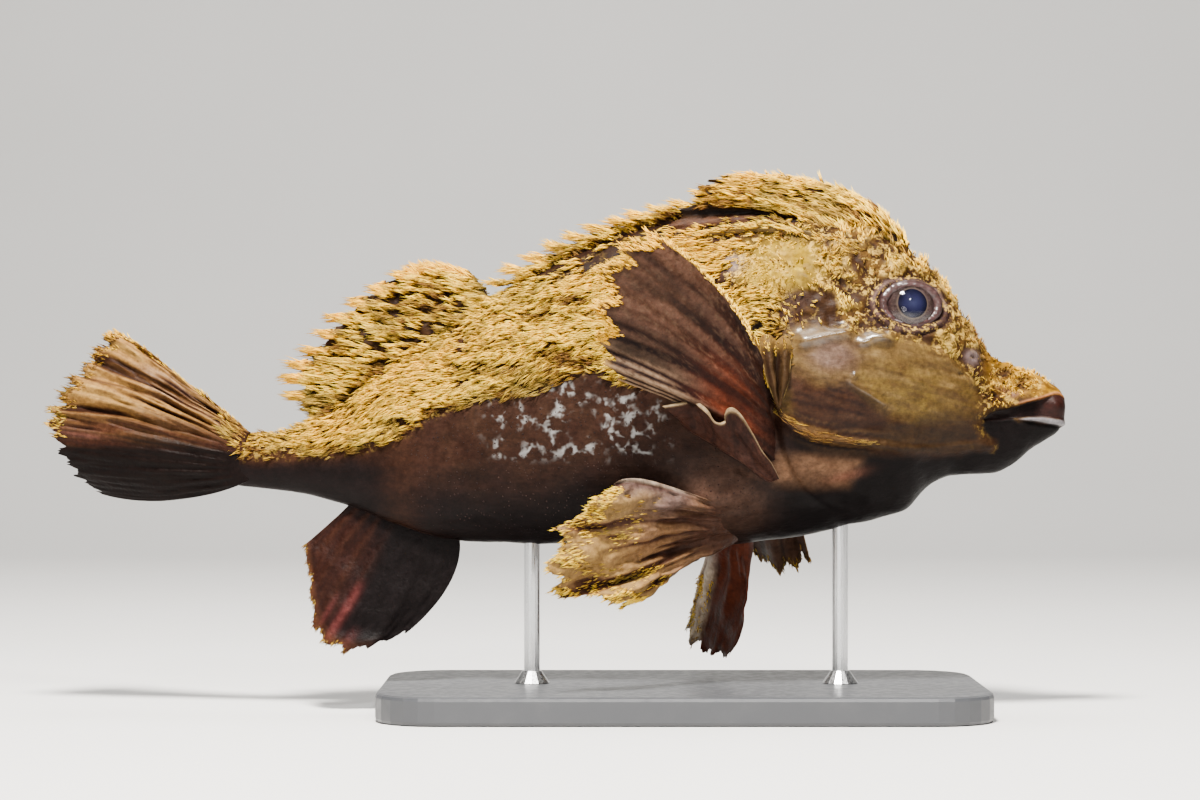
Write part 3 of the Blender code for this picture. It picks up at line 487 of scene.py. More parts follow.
def add_node(tree, kind, inputs=None, **settings):
    """The outputs of a new node with these settings and inputs."""
    node = tree.nodes.new(kind)
    for name, setting in settings.items():
        setattr(node, name, setting)
    for socket, value in (inputs or {}).items():
        feed(tree, node, socket, value)
    return node.outputs


class Shader:
    """A material's node tree with short calls for the nodes that these finishes need."""

    def __init__(self, name, roughness, metallic=0.0):
        self.material = bpy.data.materials.new(name)
        self.material.use_nodes = True
        self.tree = self.material.node_tree
        self.surface = self.tree.nodes["Principled BSDF"]
        self.set(Roughness=roughness, Metallic=metallic)

    def set(self, **sockets):
        for name, value in sockets.items():
            feed(self.tree, self.surface, name.replace("_", " "), value)

    def node(self, kind, inputs=None, **settings):
        return add_node(self.tree, "ShaderNode" + kind, inputs, **settings)

    def place(self, scale=(1, 1, 1)):
        coords = self.node("TexCoord")["Object"]
        return self.node("Mapping", {"Vector": coords, "Scale": scale})["Vector"]

    def noise(self, scale, detail=4.0, roughness=0.55, stretch=(1, 1, 1)):
        inputs = {"Vector": self.place(stretch), "Scale": scale, "Detail": detail, "Roughness": roughness}
        return self.node("TexNoise", inputs)["Fac"]

    def web(self, scale, bend_scale, warp):
        """Distance from the edges of warped cells."""
        bend = self.node("TexNoise", {"Vector": self.place(), "Scale": bend_scale})["Color"]
        inputs = {0: bend, 1: (2 * warp, 2 * warp, 2 * warp), 2: self.place()}
        bent = self.node("VectorMath", inputs, operation="MULTIPLY_ADD")["Vector"]
        cells = self.node("TexVoronoi", {"Vector": bent, "Scale": scale}, feature="DISTANCE_TO_EDGE")
        return cells["Distance"]

    def value(self, name):
        return self.node("Attribute", attribute_name=name)["Fac"]

    def paint(self):
        return self.node("Attribute", attribute_name="paint")["Color"]

    def math(self, operation, first, second, clamp=False):
        return self.node("Math", {0: first, 1: second}, operation=operation, use_clamp=clamp)["Value"]

    def range(self, value, low, high, to_low=0.0, to_high=1.0):
        inputs = {"Value": value, "From Min": low, "From Max": high, "To Min": to_low, "To Max": to_high}
        return self.node("MapRange", inputs, interpolation_type="SMOOTHSTEP")["Result"]

    def ramp(self, value, *stops):
        colour = self.node("ValToRGB", {"Fac": value})["Color"]
        elements = colour.node.color_ramp.elements
        while len(elements) < len(stops):
            elements.new(0.5)
        for element, (position, shade) in zip(elements, stops):
            element.position = position
            element.color = (*shade, 1.0)
        return colour

    def mix(self, share, first, second, blend="MIX"):
        return self.node("Mix", {0: share, 6: first, 7: second}, data_type="RGBA", blend_type=blend)[2]

    def grain(self, share, colour, noise, low, high, dark):
        """A colour darkened where a noise is low."""
        return self.mix(share, colour, self.ramp(noise, (low, dark), (high, (1.0, 1.0, 1.0))), "MULTIPLY")

    def bump(self, height, strength, distance, after=None):
        inputs = {"Height": height, "Strength": strength, "Distance": distance}
        if after is not None:
            inputs["Normal"] = after
        return self.node("Bump", inputs)["Normal"]


def skin_material():
    """Wet dark skin with a mossy film, pale worm marks on the flank and a glossy cheek."""
    shader = Shader("horsefish_skin", roughness=0.45)
    fine = shader.noise(420, 5, 0.6)
    medium = shader.noise(120, 5, 0.65)
    colour = shader.grain(1.0, shader.paint(), fine, 0.30, 0.70, (0.50, 0.48, 0.46))
    colour = shader.grain(0.9, colour, medium, 0.30, 0.68, (0.50, 0.44, 0.40))
    crumbs = shader.range(shader.noise(340, 3, 0.7), 0.50, 0.62)
    crumbs = shader.math("MULTIPLY", shader.value("moss"), crumbs)
    colour = shader.mix(shader.math("MULTIPLY", crumbs, 0.6), colour, (0.50, 0.31, 0.06))
    web = shader.web(105, 160, 0.0045)
    breaks = shader.range(shader.noise(170, 2), 0.46, 0.60)
    blots = shader.range(shader.noise(60, 2), 0.40, 0.56)
    mark = shader.math("MULTIPLY", shader.range(web, 0.20, 0.02), shader.value("mottle"))
    mark = shader.math("MULTIPLY", shader.math("MULTIPLY", mark, blots), breaks, clamp=True)
    colour = shader.mix(shader.math("MULTIPLY", mark, 0.75), colour, (0.20, 0.195, 0.19))
    wet = shader.value("gloss")
    smoothing = shader.math("MULTIPLY", wet, 0.15)
    rough = shader.math("SUBTRACT", shader.range(fine, 0.2, 0.8, 0.42, 0.58), smoothing)
    rough = shader.math("ADD", rough, shader.math("MULTIPLY", shader.value("moss"), 0.25), clamp=True)
    grain = shader.bump(shader.noise(900, 4, 0.6), 0.35, 0.0004)
    folds = shader.noise(150, 4, 0.6, stretch=(0.45, 1, 1.5))
    strength = shader.range(shader.value("moss"), 0, 1, 0.40, 0.9)
    normal = shader.bump(folds, strength, 0.0016, after=grain)
    shader.set(Base_Color=colour, Roughness=rough, Coat_Weight=shader.range(wet, 0, 1), Normal=normal)
    shader.set(Specular_IOR_Level=0.05, Coat_Roughness=0.24, Coat_IOR=1.5)
    shader.set(Subsurface_Weight=0.04, Subsurface_Radius=(0.004, 0.0015, 0.001))
    return shader.material


def turf_material():
    """Algae blades painted with shade at the root and a sunlit highlight at the tip, warmer or greener by
    their hue.
    """
    shader = Shader("golden_turf", roughness=0.55)
    along, tone = shader.value("along"), shader.value("tone")
    # Both ramps along each blade paint light: shade near black at the root and a pale highlight at the tip
    gold = shader.ramp(
        along,
        (0.0, (0.025, 0.008, 0.003)),
        (0.20, (0.16, 0.066, 0.008)),
        (0.52, (0.74, 0.42, 0.018)),
        (1.0, (0.99, 0.76, 0.085)),
    )
    brown = shader.ramp(
        along, (0.0, (0.012, 0.004, 0.002)), (0.45, (0.060, 0.024, 0.007)), (1.0, (0.23, 0.110, 0.022))
    )
    colour = shader.mix(shader.range(tone, 0.0, 1.0), brown, gold)
    rust = shader.math("MULTIPLY", shader.value("rust"), along)
    warm = shader.math("MULTIPLY", rust, tone)
    colour = shader.mix(warm, colour, (0.82, 0.36, 0.002))
    olive = shader.math("MULTIPLY", shader.range(shader.noise(40, 3), 0.45, 0.70), 0.35)
    colour = shader.mix(olive, colour, (0.46, 0.34, 0.055))
    shader.set(Base_Color=colour, Specular_IOR_Level=0.08)
    shader.set(Subsurface_Weight=0.05, Subsurface_Radius=(0.003, 0.0018, 0.0006))
    return shader.material


def fin_material():
    """Painted fin membrane with fine grain, flecks and a moist sheen."""
    shader = Shader("fin_membrane", roughness=0.42)
    fine = shader.noise(420, 5, 0.6)
    medium = shader.noise(150, 5, 0.65)
    colour = shader.grain(1.0, shader.paint(), fine, 0.30, 0.70, (0.52, 0.5, 0.48))
    colour = shader.grain(0.8, colour, medium, 0.32, 0.66, (0.50, 0.44, 0.42))
    grain = shader.bump(shader.noise(800, 4, 0.6), 0.4, 0.0005)
    shader.set(Base_Color=colour, Roughness=shader.range(fine, 0.2, 0.8, 0.38, 0.60), Specular_IOR_Level=0.05)
    shader.set(Normal=shader.bump(medium, 0.6, 0.0014, after=grain))
    shader.set(Subsurface_Weight=0.05, Subsurface_Radius=(0.005, 0.0016, 0.0008))
    return shader.material


def eye_material():
    """A blue-violet pupil, its middle lighter with a painted sheen, in a grey-brown iris with a thin tan rim.
    """
    shader = Shader("horsefish_eye", roughness=0.16)
    ring = shader.value("ring")
    flecks = shader.noise(700, 5, 0.65)
    iris = shader.mix(shader.range(flecks, 0.35, 0.7), (0.026, 0.016, 0.014), (0.080, 0.050, 0.043))
    at_rim = shader.range(ring, PUPIL_RADIUS + 1.1, PUPIL_RADIUS + 0.35)
    colour = shader.mix(at_rim, iris, (0.105, 0.074, 0.050))
    # The pupil lighter blue-violet in its middle: a painted sheen of the lens
    pupil = shader.ramp(
        shader.math("DIVIDE", ring, PUPIL_RADIUS),
        (0.0, (0.026, 0.028, 0.070)),
        (0.55, (0.011, 0.012, 0.036)),
        (1.0, (0.003, 0.003, 0.009)),
    )
    colour = shader.mix(shader.range(ring, PUPIL_RADIUS + 0.3, PUPIL_RADIUS - 0.1), colour, pupil)
    colour = shader.mix(shader.range(ring, IRIS_RADIUS - 1.6, IRIS_RADIUS), colour, (0.035, 0.018, 0.018))
    shader.set(Base_Color=colour, Specular_IOR_Level=0.1, Coat_Weight=0.15, Coat_Roughness=0.03)
    return shader.material


def cornea_material():
    shader = Shader("cornea", roughness=0.02)
    shader.set(Base_Color=(0.97, 0.97, 1.0), Transmission_Weight=1.0, IOR=1.33)
    return shader.material


def stand_material():
    """Satin dark grey paint with a faint orange peel and dust."""
    shader = Shader("stand_paint", roughness=0.4)
    dust = shader.range(shader.noise(60, 6, 0.7), 0.45, 0.8, 0, 0.5)
    shader.set(Base_Color=shader.mix(dust, (0.040, 0.042, 0.047), (0.066, 0.067, 0.070)))
    shader.set(Roughness=shader.range(shader.noise(240, 5), 0.3, 0.7, 0.33, 0.47))
    shader.set(Normal=shader.bump(shader.noise(1500, 2), 0.12, 0.0003))
    return shader.material


def rod_material():
    """Brushed steel, drawn lengthwise."""
    shader = Shader("brushed_rod", roughness=0.3, metallic=1.0)
    lines = shader.noise(1400, 3, 0.6, stretch=(1, 1, 0.04))
    shader.set(Base_Color=shader.mix(lines, (0.50, 0.51, 0.53), (0.70, 0.71, 0.72)))
    shader.set(Roughness=shader.range(lines, 0.3, 0.7, 0.24, 0.38))
    return shader.material


def stage_material():
    shader = Shader("pale_floor", roughness=0.85)
    shader.set(Base_Color=shader.mix(shader.noise(3, 3), (0.56, 0.555, 0.546), (0.61, 0.605, 0.596)))
    return shader.material


def eye_frame(side):
    """A matrix in millimetres whose Z axis looks out of the eye."""
    s, y, h = EYE_PLACE
    up, forward = math.radians(EYE_UP_TILT), math.radians(EYE_FORWARD_TILT)
    out = Vector((math.sin(forward), side * math.cos(forward) * math.cos(up), math.sin(up))).normalized()
    along = Vector((0, 0, 1)).cross(out).normalized()
    centre = Vector(place((s, y * side, h)))
    return Matrix.Translation(centre) @ Matrix((along, out.cross(along), out)).transposed().to_4x4()


def in_eye_frame(points, side):
    """Points of the frame, in metres, to millimetres in the eye's own frame."""
    inverse = np.array(eye_frame(side).inverted())
    return (points @ inverse[:3, :3].T + inverse[:3, 3]) / MM


def from_eye_frame(local, side):
    """Places in the eye's own frame, in millimetres, to the frame in metres."""
    turned = np.array(eye_frame(side))
    return (local * MM) @ turned[:3, :3].T + turned[:3, 3]


def around_eye(points, side, clearance=0.0):
    """Points in the eye's own frame, and how many lid openings each is from the eye's middle."""
    local = in_eye_frame(points, side)
    wide, tall = LID_OPENING[0] + clearance, LID_OPENING[1] + clearance
    return local, np.hypot(local[..., 0] / wide, local[..., 1] / tall)


def skin_rings():
    spans = [np.arange(low, high, spacing) for low, high, spacing in RING_SPACING]
    return np.concatenate(spans + [[RING_SPACING[-1][1]]])


def gape_mask(s, h):
    """1 inside the gape of the mouth and 0 outside, with a soft edge."""
    top, bottom = along_points(GAPE_TOP, s), along_points(GAPE_BOTTOM, s)
    return step(-0.35, 0.5, top - h) * step(-0.35, 0.5, h - bottom) * step(GAPE_END, GAPE_END - 2.0, s)


def line_gap(s, h, s0, h0, s1, h1):
    """How far places (s, h) are from the straight line between two of them."""
    share = ((s - s0) * (s1 - s0) + (h - h0) * (h1 - h0)) / ((s1 - s0) ** 2 + (h1 - h0) ** 2)
    share = np.clip(share, 0, 1)
    return np.hypot(s - s0 - share * (s1 - s0), h - h0 - share * (h1 - h0))


def zone(s, h, outline, soft):
    """1 inside an outline of (s, h) points and 0 outside it, with a soft edge."""
    s, h = np.asarray(s, float), np.asarray(h, float)
    corners = np.asarray(outline, float)
    inside = np.zeros(s.shape, bool)
    away = np.full(s.shape, np.inf)
    for (s0, h0), (s1, h1) in zip(corners, np.roll(corners, -1, axis=0)):
        away = np.minimum(away, line_gap(s, h, s0, h0, s1, h1))
        if h0 != h1:
            inside ^= ((h0 > h) != (h1 > h)) & (s < s0 + (h - h0) * (s1 - s0) / (h1 - h0))
    return step(-soft, soft, np.where(inside, away, -away))


def folds(s, h, lines):
    """The height of rounded folds along lines from (s, h) to (s, h)."""
    total = 0 * s
    for *ends, height, width in lines:
        total = total + height * bell(line_gap(s, h, *ends), 0, width)
    return total


def ridges(s, h, lines):
    """Roof-shaped ridges along short lines on the side of the head, with even slopes on both sides."""
    total = 0.0 * s
    for *ends, height, width in lines:
        total = np.maximum(total, height * np.clip(1.05 - line_gap(s, h, *ends) / width, 0, 1))
    return total


def dark_hole(s, h):
    """1 in the middle of the dark hole behind the cheek, fading out around it."""
    return bell(np.hypot((s - DARK_HOLE[0]) * 1.2, h - DARK_HOLE[1]), 0, DARK_HOLE_SIZE)


def head_relief(point, a):
    """How far the head's folds stand out from the plain body, and where each of them is."""
    s, h = point[..., 0], point[..., 2]
    side = np.abs(np.sin(a)) ** 2
    edge = gill_edge(a)
    on_head = step(edge + 1.5, edge - 0.5, s)
    low_side = step(52, 36, h)
    raise_cover = GILL_COVER_RAISE * step(60, 140, s) * side * on_head * low_side
    groove = -GILL_GROOVE * bell(s, edge + 2.6, 2.6) * side * low_side * (0.35 + 0.65 * step(-26, -6, h))
    cheek_line = along_points(CHEEK_EDGE, s)
    cheek = zone(s, h, SMOOTH_CHEEK, 4.0)
    puff = 2.6 * spot(s, h, CHEEK_PUFF, 22, 1.5) * side * on_head
    jaw = zone(s, h + 2.0 * lumps(point, 6, 15), SHADED_JAW, 3.5)
    strands = pattern(s * 0.05, h - cheek_line + 0.02 * s, 0, 17, 1.25)
    strand = bell(h, cheek_line + 1.5, 5.0) * step(38, 54, s) * step(edge + 3, edge - 6, s) * side
    ridge = 1.8 * bell(h, cheek_line - 0.5, 2.4) * step(34, 40, s) * step(152, 146, s) * side
    top, bottom = along_points(GAPE_TOP, s), along_points(GAPE_BOTTOM, s)
    near_mouth = step(LIP_END + 4.0, LIP_END - 6.0, s)
    upper_lip = bell(h - top, 0.6, 0.7) * near_mouth
    thick = along_points(LIP_THICKNESS, s)
    lower_lip = np.exp(-((np.abs(h - bottom + thick) / thick) ** 3)) * step(LIP_END, LIP_END - 6.0, s)
    gape = gape_mask(s, h)
    depth = step(5, 14, s) * (1 - 0.6 * step(26, 42, s)) - 0.45 * spot(s, h, LIP_TIP, 3.6, 1.3)
    depth = GAPE_DEPTH * depth
    relief = raise_cover + groove + puff - 1.4 * jaw * side * step(20, 32, s) + ridge
    relief = relief + 0.55 * strand * strands
    relief = relief + folds(s, h, CHEEK_FOLDS) + ridges(s, h, WET_RIDGES) * on_head
    relief = relief + 0.35 * cheek * on_head * lumps(point * (0.8, 1, 1.4), 7, 16)
    relief = relief + 0.6 * upper_lip + 1.2 * lower_lip - depth * gape
    chin_groove = bell(h - bottom, -2.2 * thick - 0.6, 0.9) * step(26, 14, s) * step(0.5, 4, s)
    relief = relief - 0.8 * chin_groove
    for place_s, place_h in NOSTRILS:
        away = np.hypot(s - place_s, h - place_h)
        relief = relief + 0.8 * bell(away, 2.0, 1.0) - 1.5 * bell(away, 0, 0.9)
    for place_s, place_h in FACE_PITS:
        relief = relief - 1.2 * bell(np.hypot(s - place_s, (h - place_h) * 1.4), 0, 2.0)
    hole = dark_hole(s, h) * side
    relief = relief - 2.2 * hole
    return relief, {
        "upper_lip": upper_lip,
        "lower_lip": lower_lip,
        "gape": gape,
        "strand": strand,
        "strands": strands,
        "cheek": cheek * on_head,
        "jaw": jaw,
        "hole": hole,
    }


def face_clods(point):
    """The lumps of growth on the head, from -1 to 1."""
    broad, middling, small = lumps(point * (0.8, 1, 1.2), 8, 10), lumps(point, 4.6, 9), lumps(point, 2.6, 8)
    return 0.45 * broad + 0.35 * middling + 0.2 * small


def turf_swell(point):
    """Low swells of the turf along the body, from -1 to 1."""
    return lumps(point * (0.5, 1, 1.3), 6.5, 87)


def skin_relief(point, around):
    """The whole relief of the skin over the plain body, in millimetres, and the marks of the head."""
    s, h = point[..., 0], point[..., 2]
    relief, marks = head_relief(point, around)
    calm = 1 - np.clip(marks["gape"] + marks["lower_lip"] + marks["upper_lip"], 0, 1)
    relief = relief + 0.55 * lumps(point, 26, 3) * step(30, 60, s)
    relief = relief + 0.35 * lumps(point, 9, 5) * step(16, 40, s)
    coat = coat_share(s, h)
    mossy = coat * step(150, 130, s) * calm
    marks["clods"] = face_clods(point) * mossy
    relief = relief + 0.12 * calm * lumps(point, 3.2, 8) + (1.0 + 2.4 * step(14, 44, s)) * marks["clods"]
    relief = relief - 1.3 * folds(s, h, HEAD_HOLLOWS) * calm
    under = step(10, -30, h) * step(60, 100, s) * step(380, 330, s)
    relief = relief + 0.6 * lumps(point * (0.45, 1, 1.6), 11, 12) * under
    shoulder = zone(s, h, PALE_SHOULDER, 5.0)
    relief = relief + shoulder * (1.6 + 1.1 * lumps(point, 8, 19))
    hip = spot(s, h, PELVIC_MUSCLE, 15, 1.25) * (around > math.pi)
    relief = relief + hip * (5.5 + 0.9 * lumps(point * (0.6, 1, 1.8), 7, 20))
    relief = relief + coat * (1.2 * turf_swell(point) * step(140, 160, s) - 0.9)
    return relief * step(420, 405, s), marks


def skin_angles(s):
    """Angles around each ring that leave equal lengths of skin between its points."""
    fine = np.linspace(0, 2 * math.pi, 721)
    ring = body_point(s[:, None], fine[None, :])
    lengths = np.cumsum(np.linalg.norm(np.diff(ring, axis=1), axis=-1), axis=1)
    lengths = np.concatenate([np.zeros((len(s), 1)), lengths], axis=1)
    shares = np.linspace(0, 1, SKIN_AROUND, endpoint=False)
    return np.stack([np.interp(shares * row[-1], row, fine) for row in lengths])


def body_angle(s, h, side):
    """The angle around the body at station s where its side (-1 right, 1 left) is at height h."""
    top, bottom = station(1, s), station(2, s)
    middle = bottom + station(4, s) * (top - bottom)
    cosine = np.where(h > middle, (h - middle) / (top - middle), (h - middle) / (middle - bottom))
    angle = np.arccos(np.clip(cosine, -1, 1))
    return angle if side > 0 else 2 * math.pi - angle


def coat_share(s, h):
    """How thickly the algae grows, from 0 to 1, at a place on the body."""
    edge = along_points(COAT_EDGE, s)
    flank = step(-4, 5, h - edge) * step(132, 142, s)
    face = step(2, 7, s) * step(145, 132, s) * step(-1, 5, h - along_points(FACE_COAT_EDGE, s))
    face = face * (1 - np.maximum(zone(s, h, SMOOTH_CHEEK, 3.0), zone(s, h, SHADED_JAW, 1.5)))
    below = station(1, s) - h
    broken = 0.75 + 0.25 * np.sin(0.16 * s) * np.sin(0.071 * s + 1)
    furrow = step(2.0, 3.5, below) * step(13, 9, below) * step(140, 150, s) * step(266, 250, s) * broken
    ridge = step(4.5, 2, below) * step(120, 135, s) * step(275, 262, s)
    hole = dark_hole(s, h)
    hollow = np.clip(0.8 * folds(s, h, HEAD_HOLLOWS), 0, 1)
    bare = 1 - (1 - furrow) * (1 - ridge) * (1 - hole) * (1 - hollow)
    return np.clip(np.maximum(flank, face) * (1 - bare), 0, 1)


def skin_shape():
    """The skin's grid of points in the frame, and where its marks are."""
    s = skin_rings()
    around = skin_angles(s)
    point = body_point(s[:, None], around)
    at = place(point)
    ahead = np.gradient(at, axis=0)
    turn = np.roll(at, -1, axis=1) - np.roll(at, 1, axis=1)
    normal = unit(np.cross(turn, ahead))
    relief, marks = skin_relief(point, around)
    at = at + normal * relief[..., None] * MM
    for side in (-1, 1):
        local, ring = around_eye(at, side)
        out = np.array(eye_frame(side))[:3, 2]
        facing = step(-6, 2, local[..., 2])
        sunk = step(1.10, 0.86, ring) * facing * np.clip(local[..., 2] + 2.5, 0, None)
        swell = 1.5 * bell(ring, 1.36, 0.10) - 0.7 * bell(ring, 1.56, 0.07) + 0.5 * bell(ring, 1.70, 0.08)
        at = at + out * ((facing * swell - sunk) * MM)[..., None]
    return point, around, at, marks


def flat_colour(like, colour):
    """One colour for each point of a grid."""
    return np.broadcast_to(np.array(colour, float), (*like.shape, 3))


def layered(colour, *layers):
    """Colours with further (share, colour) layers blended over them in turn."""
    for share, other in layers:
        colour = mixed(colour, share, other)
    return colour


def mixed(colour, share, other):
    """Colours blended towards another by a share for each point."""
    share = np.clip(share, 0, 1)[..., None]
    return colour * (1 - share) + np.asarray(other, float) * share


def cheek_colour(s, h, middling, small):
    """The wet olive cheek with its slanting streaks, its brown shaded rear, its lilac upper corner and
    painted shade below.
    """
    slant = pattern(s * 0.12 + h * 0.05, h - 0.25 * s, 0, 18, 1.6)
    shaded = layered(
        flat_colour(s, (0.052, 0.021, 0.010)),
        (step(0.1, 0.6, slant), (0.028, 0.011, 0.007)),
        (0.4 * step(-0.3, -0.8, slant), (0.115, 0.060, 0.034)),
    )
    return layered(
        flat_colour(s, (0.19, 0.120, 0.026)),
        (step(4, 34, h) * 0.5, (0.215, 0.130, 0.052)),
        (0.5 * step(76, 56, s + 2 * middling), (0.095, 0.050, 0.014)),
        (0.5 * step(0.1, 0.6, slant) + 0.3 * step(0.0, 0.6, small), (0.100, 0.054, 0.020)),
        (0.5 * step(-0.1, -0.7, slant), (0.260, 0.165, 0.062)),
        (zone(s + 3 * middling, h + 2 * middling, SHADED_CHEEK, 6.0), shaded),
        # Painted shade, near black, along the cheek's lower edge
        (0.9 * step(3, -10, h + 0.06 * (s - 90)), (0.026, 0.011, 0.006)),
        (np.clip(1.2 * spot(s, h, LILAC_CHEEK, 8, 1.4), 0, 0.85), (0.190, 0.118, 0.092)),
    )


def skin_finishes(point, marks):
    """The colour and finish of each point of the skin, before the shader adds its grain."""
    s, h = point[..., 0], point[..., 2]
    broad, middling, small = lumps(point, 24, 91), lumps(point, 7, 92), lumps(point, 2.6, 93)
    top, bottom = station(1, s), station(2, s)
    share_up = (h - bottom) / (top - bottom)
    low = step(0.42, 0.10, share_up + 0.06 * broad) * step(86, 130, s)
    stalk = step(318, 352, s)
    stalk_low = step(0.66, 0.30, share_up + 0.05 * middling) * stalk
    chest = bell(s, 174, 24) * bell(h, -42, 13)
    shoulder = zone(s, h, PALE_SHOULDER, 5.0)
    streak = bell(h, -31 - 0.2 * (s - 110), 2.5) * bell(s, 111, 9)
    coat = coat_share(s, h)
    under = coat * step(134, 150, s)
    jaw, clods, gape = marks["jaw"], marks["clods"], marks["gape"]
    above_cheek = np.maximum(step(-2.5, 2.0, h - along_points(CHEEK_EDGE, s)), step(44, 34, s))
    throat = (1 - above_cheek) * step(146, 128, s) * step(-21, -15, h)
    head = step(134, 127, s) * (1 - jaw) * above_cheek
    moss = head * step(-0.5, 0.35, middling + 0.6 * broad)
    # Painted shade in the hollows between the lumps of growth
    hollow_shade = np.clip(1.2 * folds(s, h, HEAD_HOLLOWS), 0, 0.9) * (0.8 + 0.4 * small)
    snout_top = step(46, 20, s) * (1 - jaw) * step(5, 12, h)
    furrows = step(0.0, 0.35, lumps(point * (0.5, 1, 1.4), 2.6, 98))
    snout_side = np.clip(1.4 * spot(s, h, SNOUT_SIDE, 9, 1.3), 0, 1) * (1 - jaw)
    cheek = marks["cheek"] * (1 - jaw)
    line = np.clip(marks["strand"] * step(-0.1, 0.6, marks["strands"]), 0, 1)
    nape = zone(s + 4 * middling, h + 3 * middling, SMOOTH_NAPE, 7.0)
    lilac = 0.8 * spot(s, h, BARE_FACE_SPOT, 3.4) + 0.9 * spot(s, h, BARE_NAPE_SPOT, 5, 1.2)
    ridge = step(13, 9, top - h) * step(122, 138, s) * step(272, 255, s)
    # Painted shade inside the face pits and the nostrils
    pit_shade = [bell(np.hypot((s - at) * 0.7, (h - up) * 1.8), 0, 1.3) for at, up in FACE_PITS + NOSTRILS]
    # Inside the gape: a maroon lip at the front, then painted shade, near black, deeper in the mouth
    inside = mixed(flat_colour(s, (0.0105, 0.0048, 0.0045)), step(17, 7, s), (0.038, 0.0125, 0.010))
    colour = layered(
        flat_colour(s, (0.054, 0.025, 0.014)),
        (0.5 + 0.5 * middling, (0.042, 0.017, 0.011)),
        # The lower side near black: partly the fish's own dark skin, partly painted shade
        (0.95 * low, (0.009, 0.0058, 0.0060)),
        (0.6 * step(300, 345, s), (0.040, 0.014, 0.010)),
        (stalk * (1 - stalk_low), (0.12, 0.046, 0.016)),
        (stalk_low, (0.011, 0.0062, 0.0060)),
        (0.6 * chest * (1 + 0.5 * middling), (0.20, 0.105, 0.070)),
        # Skin under the algae: its own dark brown, deepened as painted shade for the gaps between the tufts
        (under, (0.045, 0.017, 0.006)),
        # Painted shade below the cheek's lower ridge, near black over the jaw
        (jaw * step(160, 128, s), (0.0068, 0.0046, 0.0048)),
        (0.85 * shoulder * (1 + 0.3 * middling), (0.21, 0.110, 0.058)),
        (0.75 * streak, (0.26, 0.100, 0.060)),
        # Painted shade, near black, on the throat under the cheek's lower edge
        (throat, (0.011, 0.0056, 0.0050)),
        (head, (0.052, 0.022, 0.008)),
        (moss, (0.15, 0.075, 0.013)),
        # The lumps of growth painted with light and shade: pale gold on their crowns, dark in the troughs
        # between them
        (moss * step(0.05, 0.5, clods), (0.74, 0.50, 0.12)),
        (head * step(0.06, -0.25, clods), (0.038, 0.015, 0.006)),
        (hollow_shade, (0.034, 0.014, 0.007)),
        (0.95 * snout_top * step(-0.5, 0.0, clods), (0.62, 0.31, 0.008)),
        (0.8 * snout_top * furrows, (0.13, 0.056, 0.010)),
        (0.9 * snout_side, (0.055, 0.023, 0.009)),
        (0.7 * folds(s, h, SNOUT_FOLDS), (0.38, 0.20, 0.13)),
        (cheek, cheek_colour(s, h, middling, small)),
        (0.75 * line * step(88, 112, s) + 0.12 * line, (0.20, 0.105, 0.034)),
        (nape, (0.50, 0.315, 0.012)),
        (0.8 * nape * step(0.0, 0.6, small), (0.80, 0.56, 0.07)),
        (lilac, (0.36, 0.27, 0.27)),
        *[(pit, (0.028, 0.012, 0.008)) for pit in pit_shade],
        (0.95 * ridge, (0.025, 0.010, 0.005)),
        # Painted shade, near black, inside the hole behind the cheek
        (marks["hole"] * 1.4, (0.010, 0.005, 0.003)),
        (gape, inside),
        (marks["upper_lip"] * (1 - gape), (0.52, 0.22, 0.085)),
        (marks["lower_lip"] * 1.2 * (1 - gape), (0.30, 0.285, 0.31)),
    )
    for side in (-1, 1):
        local, ring = around_eye(place(point), side)
        facing = step(-6, 2, local[..., 2])
        upper = 0.35 + 0.65 * step(-6, 8, local[..., 1])
        colour = layered(
            colour,
            (step(1.75, 1.45, ring + 0.10 * middling) * facing, (0.062, 0.030, 0.025)),
            # The pale fold painted lighter on its upper side as light, then painted shade in the creases on
            # both sides of it
            (facing * bell(ring, 1.38, 0.07) * upper, (0.21, 0.135, 0.118)),
            (facing * (bell(ring, 1.20, 0.08) + bell(ring, 1.55, 0.05)), (0.022, 0.009, 0.009)),
        )
    mottle = step(192, 206, s) * step(294, 280, s) * step(-27, -19, h) * step(24, 12, h)
    shine = step(0.1, 1.3, ridges(s, h - 1.3, WET_RIDGES)) * np.clip(0.75 + 0.7 * lumps(point, 3.0, 97), 0, 1)
    gloss = np.clip(0.15 * cheek + shine + 0.15 * gape + 0.5 * marks["lower_lip"] + 0.10 * low, 0, 1)
    mouth = np.clip(gape + marks["upper_lip"] + marks["lower_lip"], 0, 1)
    rough = np.clip(np.maximum(moss * (1 - cheek), under), 0, 1) * (1 - mouth) * (1 - marks["strand"])
    return {"paint": colour * PAINT_DEPTH, "mottle": mottle * (1 - coat), "gloss": gloss, "moss": rough}


def ring_faces(count, around, first=0):
    """Quads between rings of points."""
    i, j = np.meshgrid(np.arange(count - 1), np.arange(around), indexing="ij")
    k = (j + 1) % around
    a = first + i * around
    return np.stack([a + j, a + around + j, a + around + k, a + k], axis=-1).reshape(-1, 4)


def fan_faces(ring, centre, flip):
    pairs = np.stack([ring, np.roll(ring, -1)], axis=1)
    faces = np.column_stack([pairs, np.full(len(ring), centre)])
    return faces[:, ::-1] if flip else faces


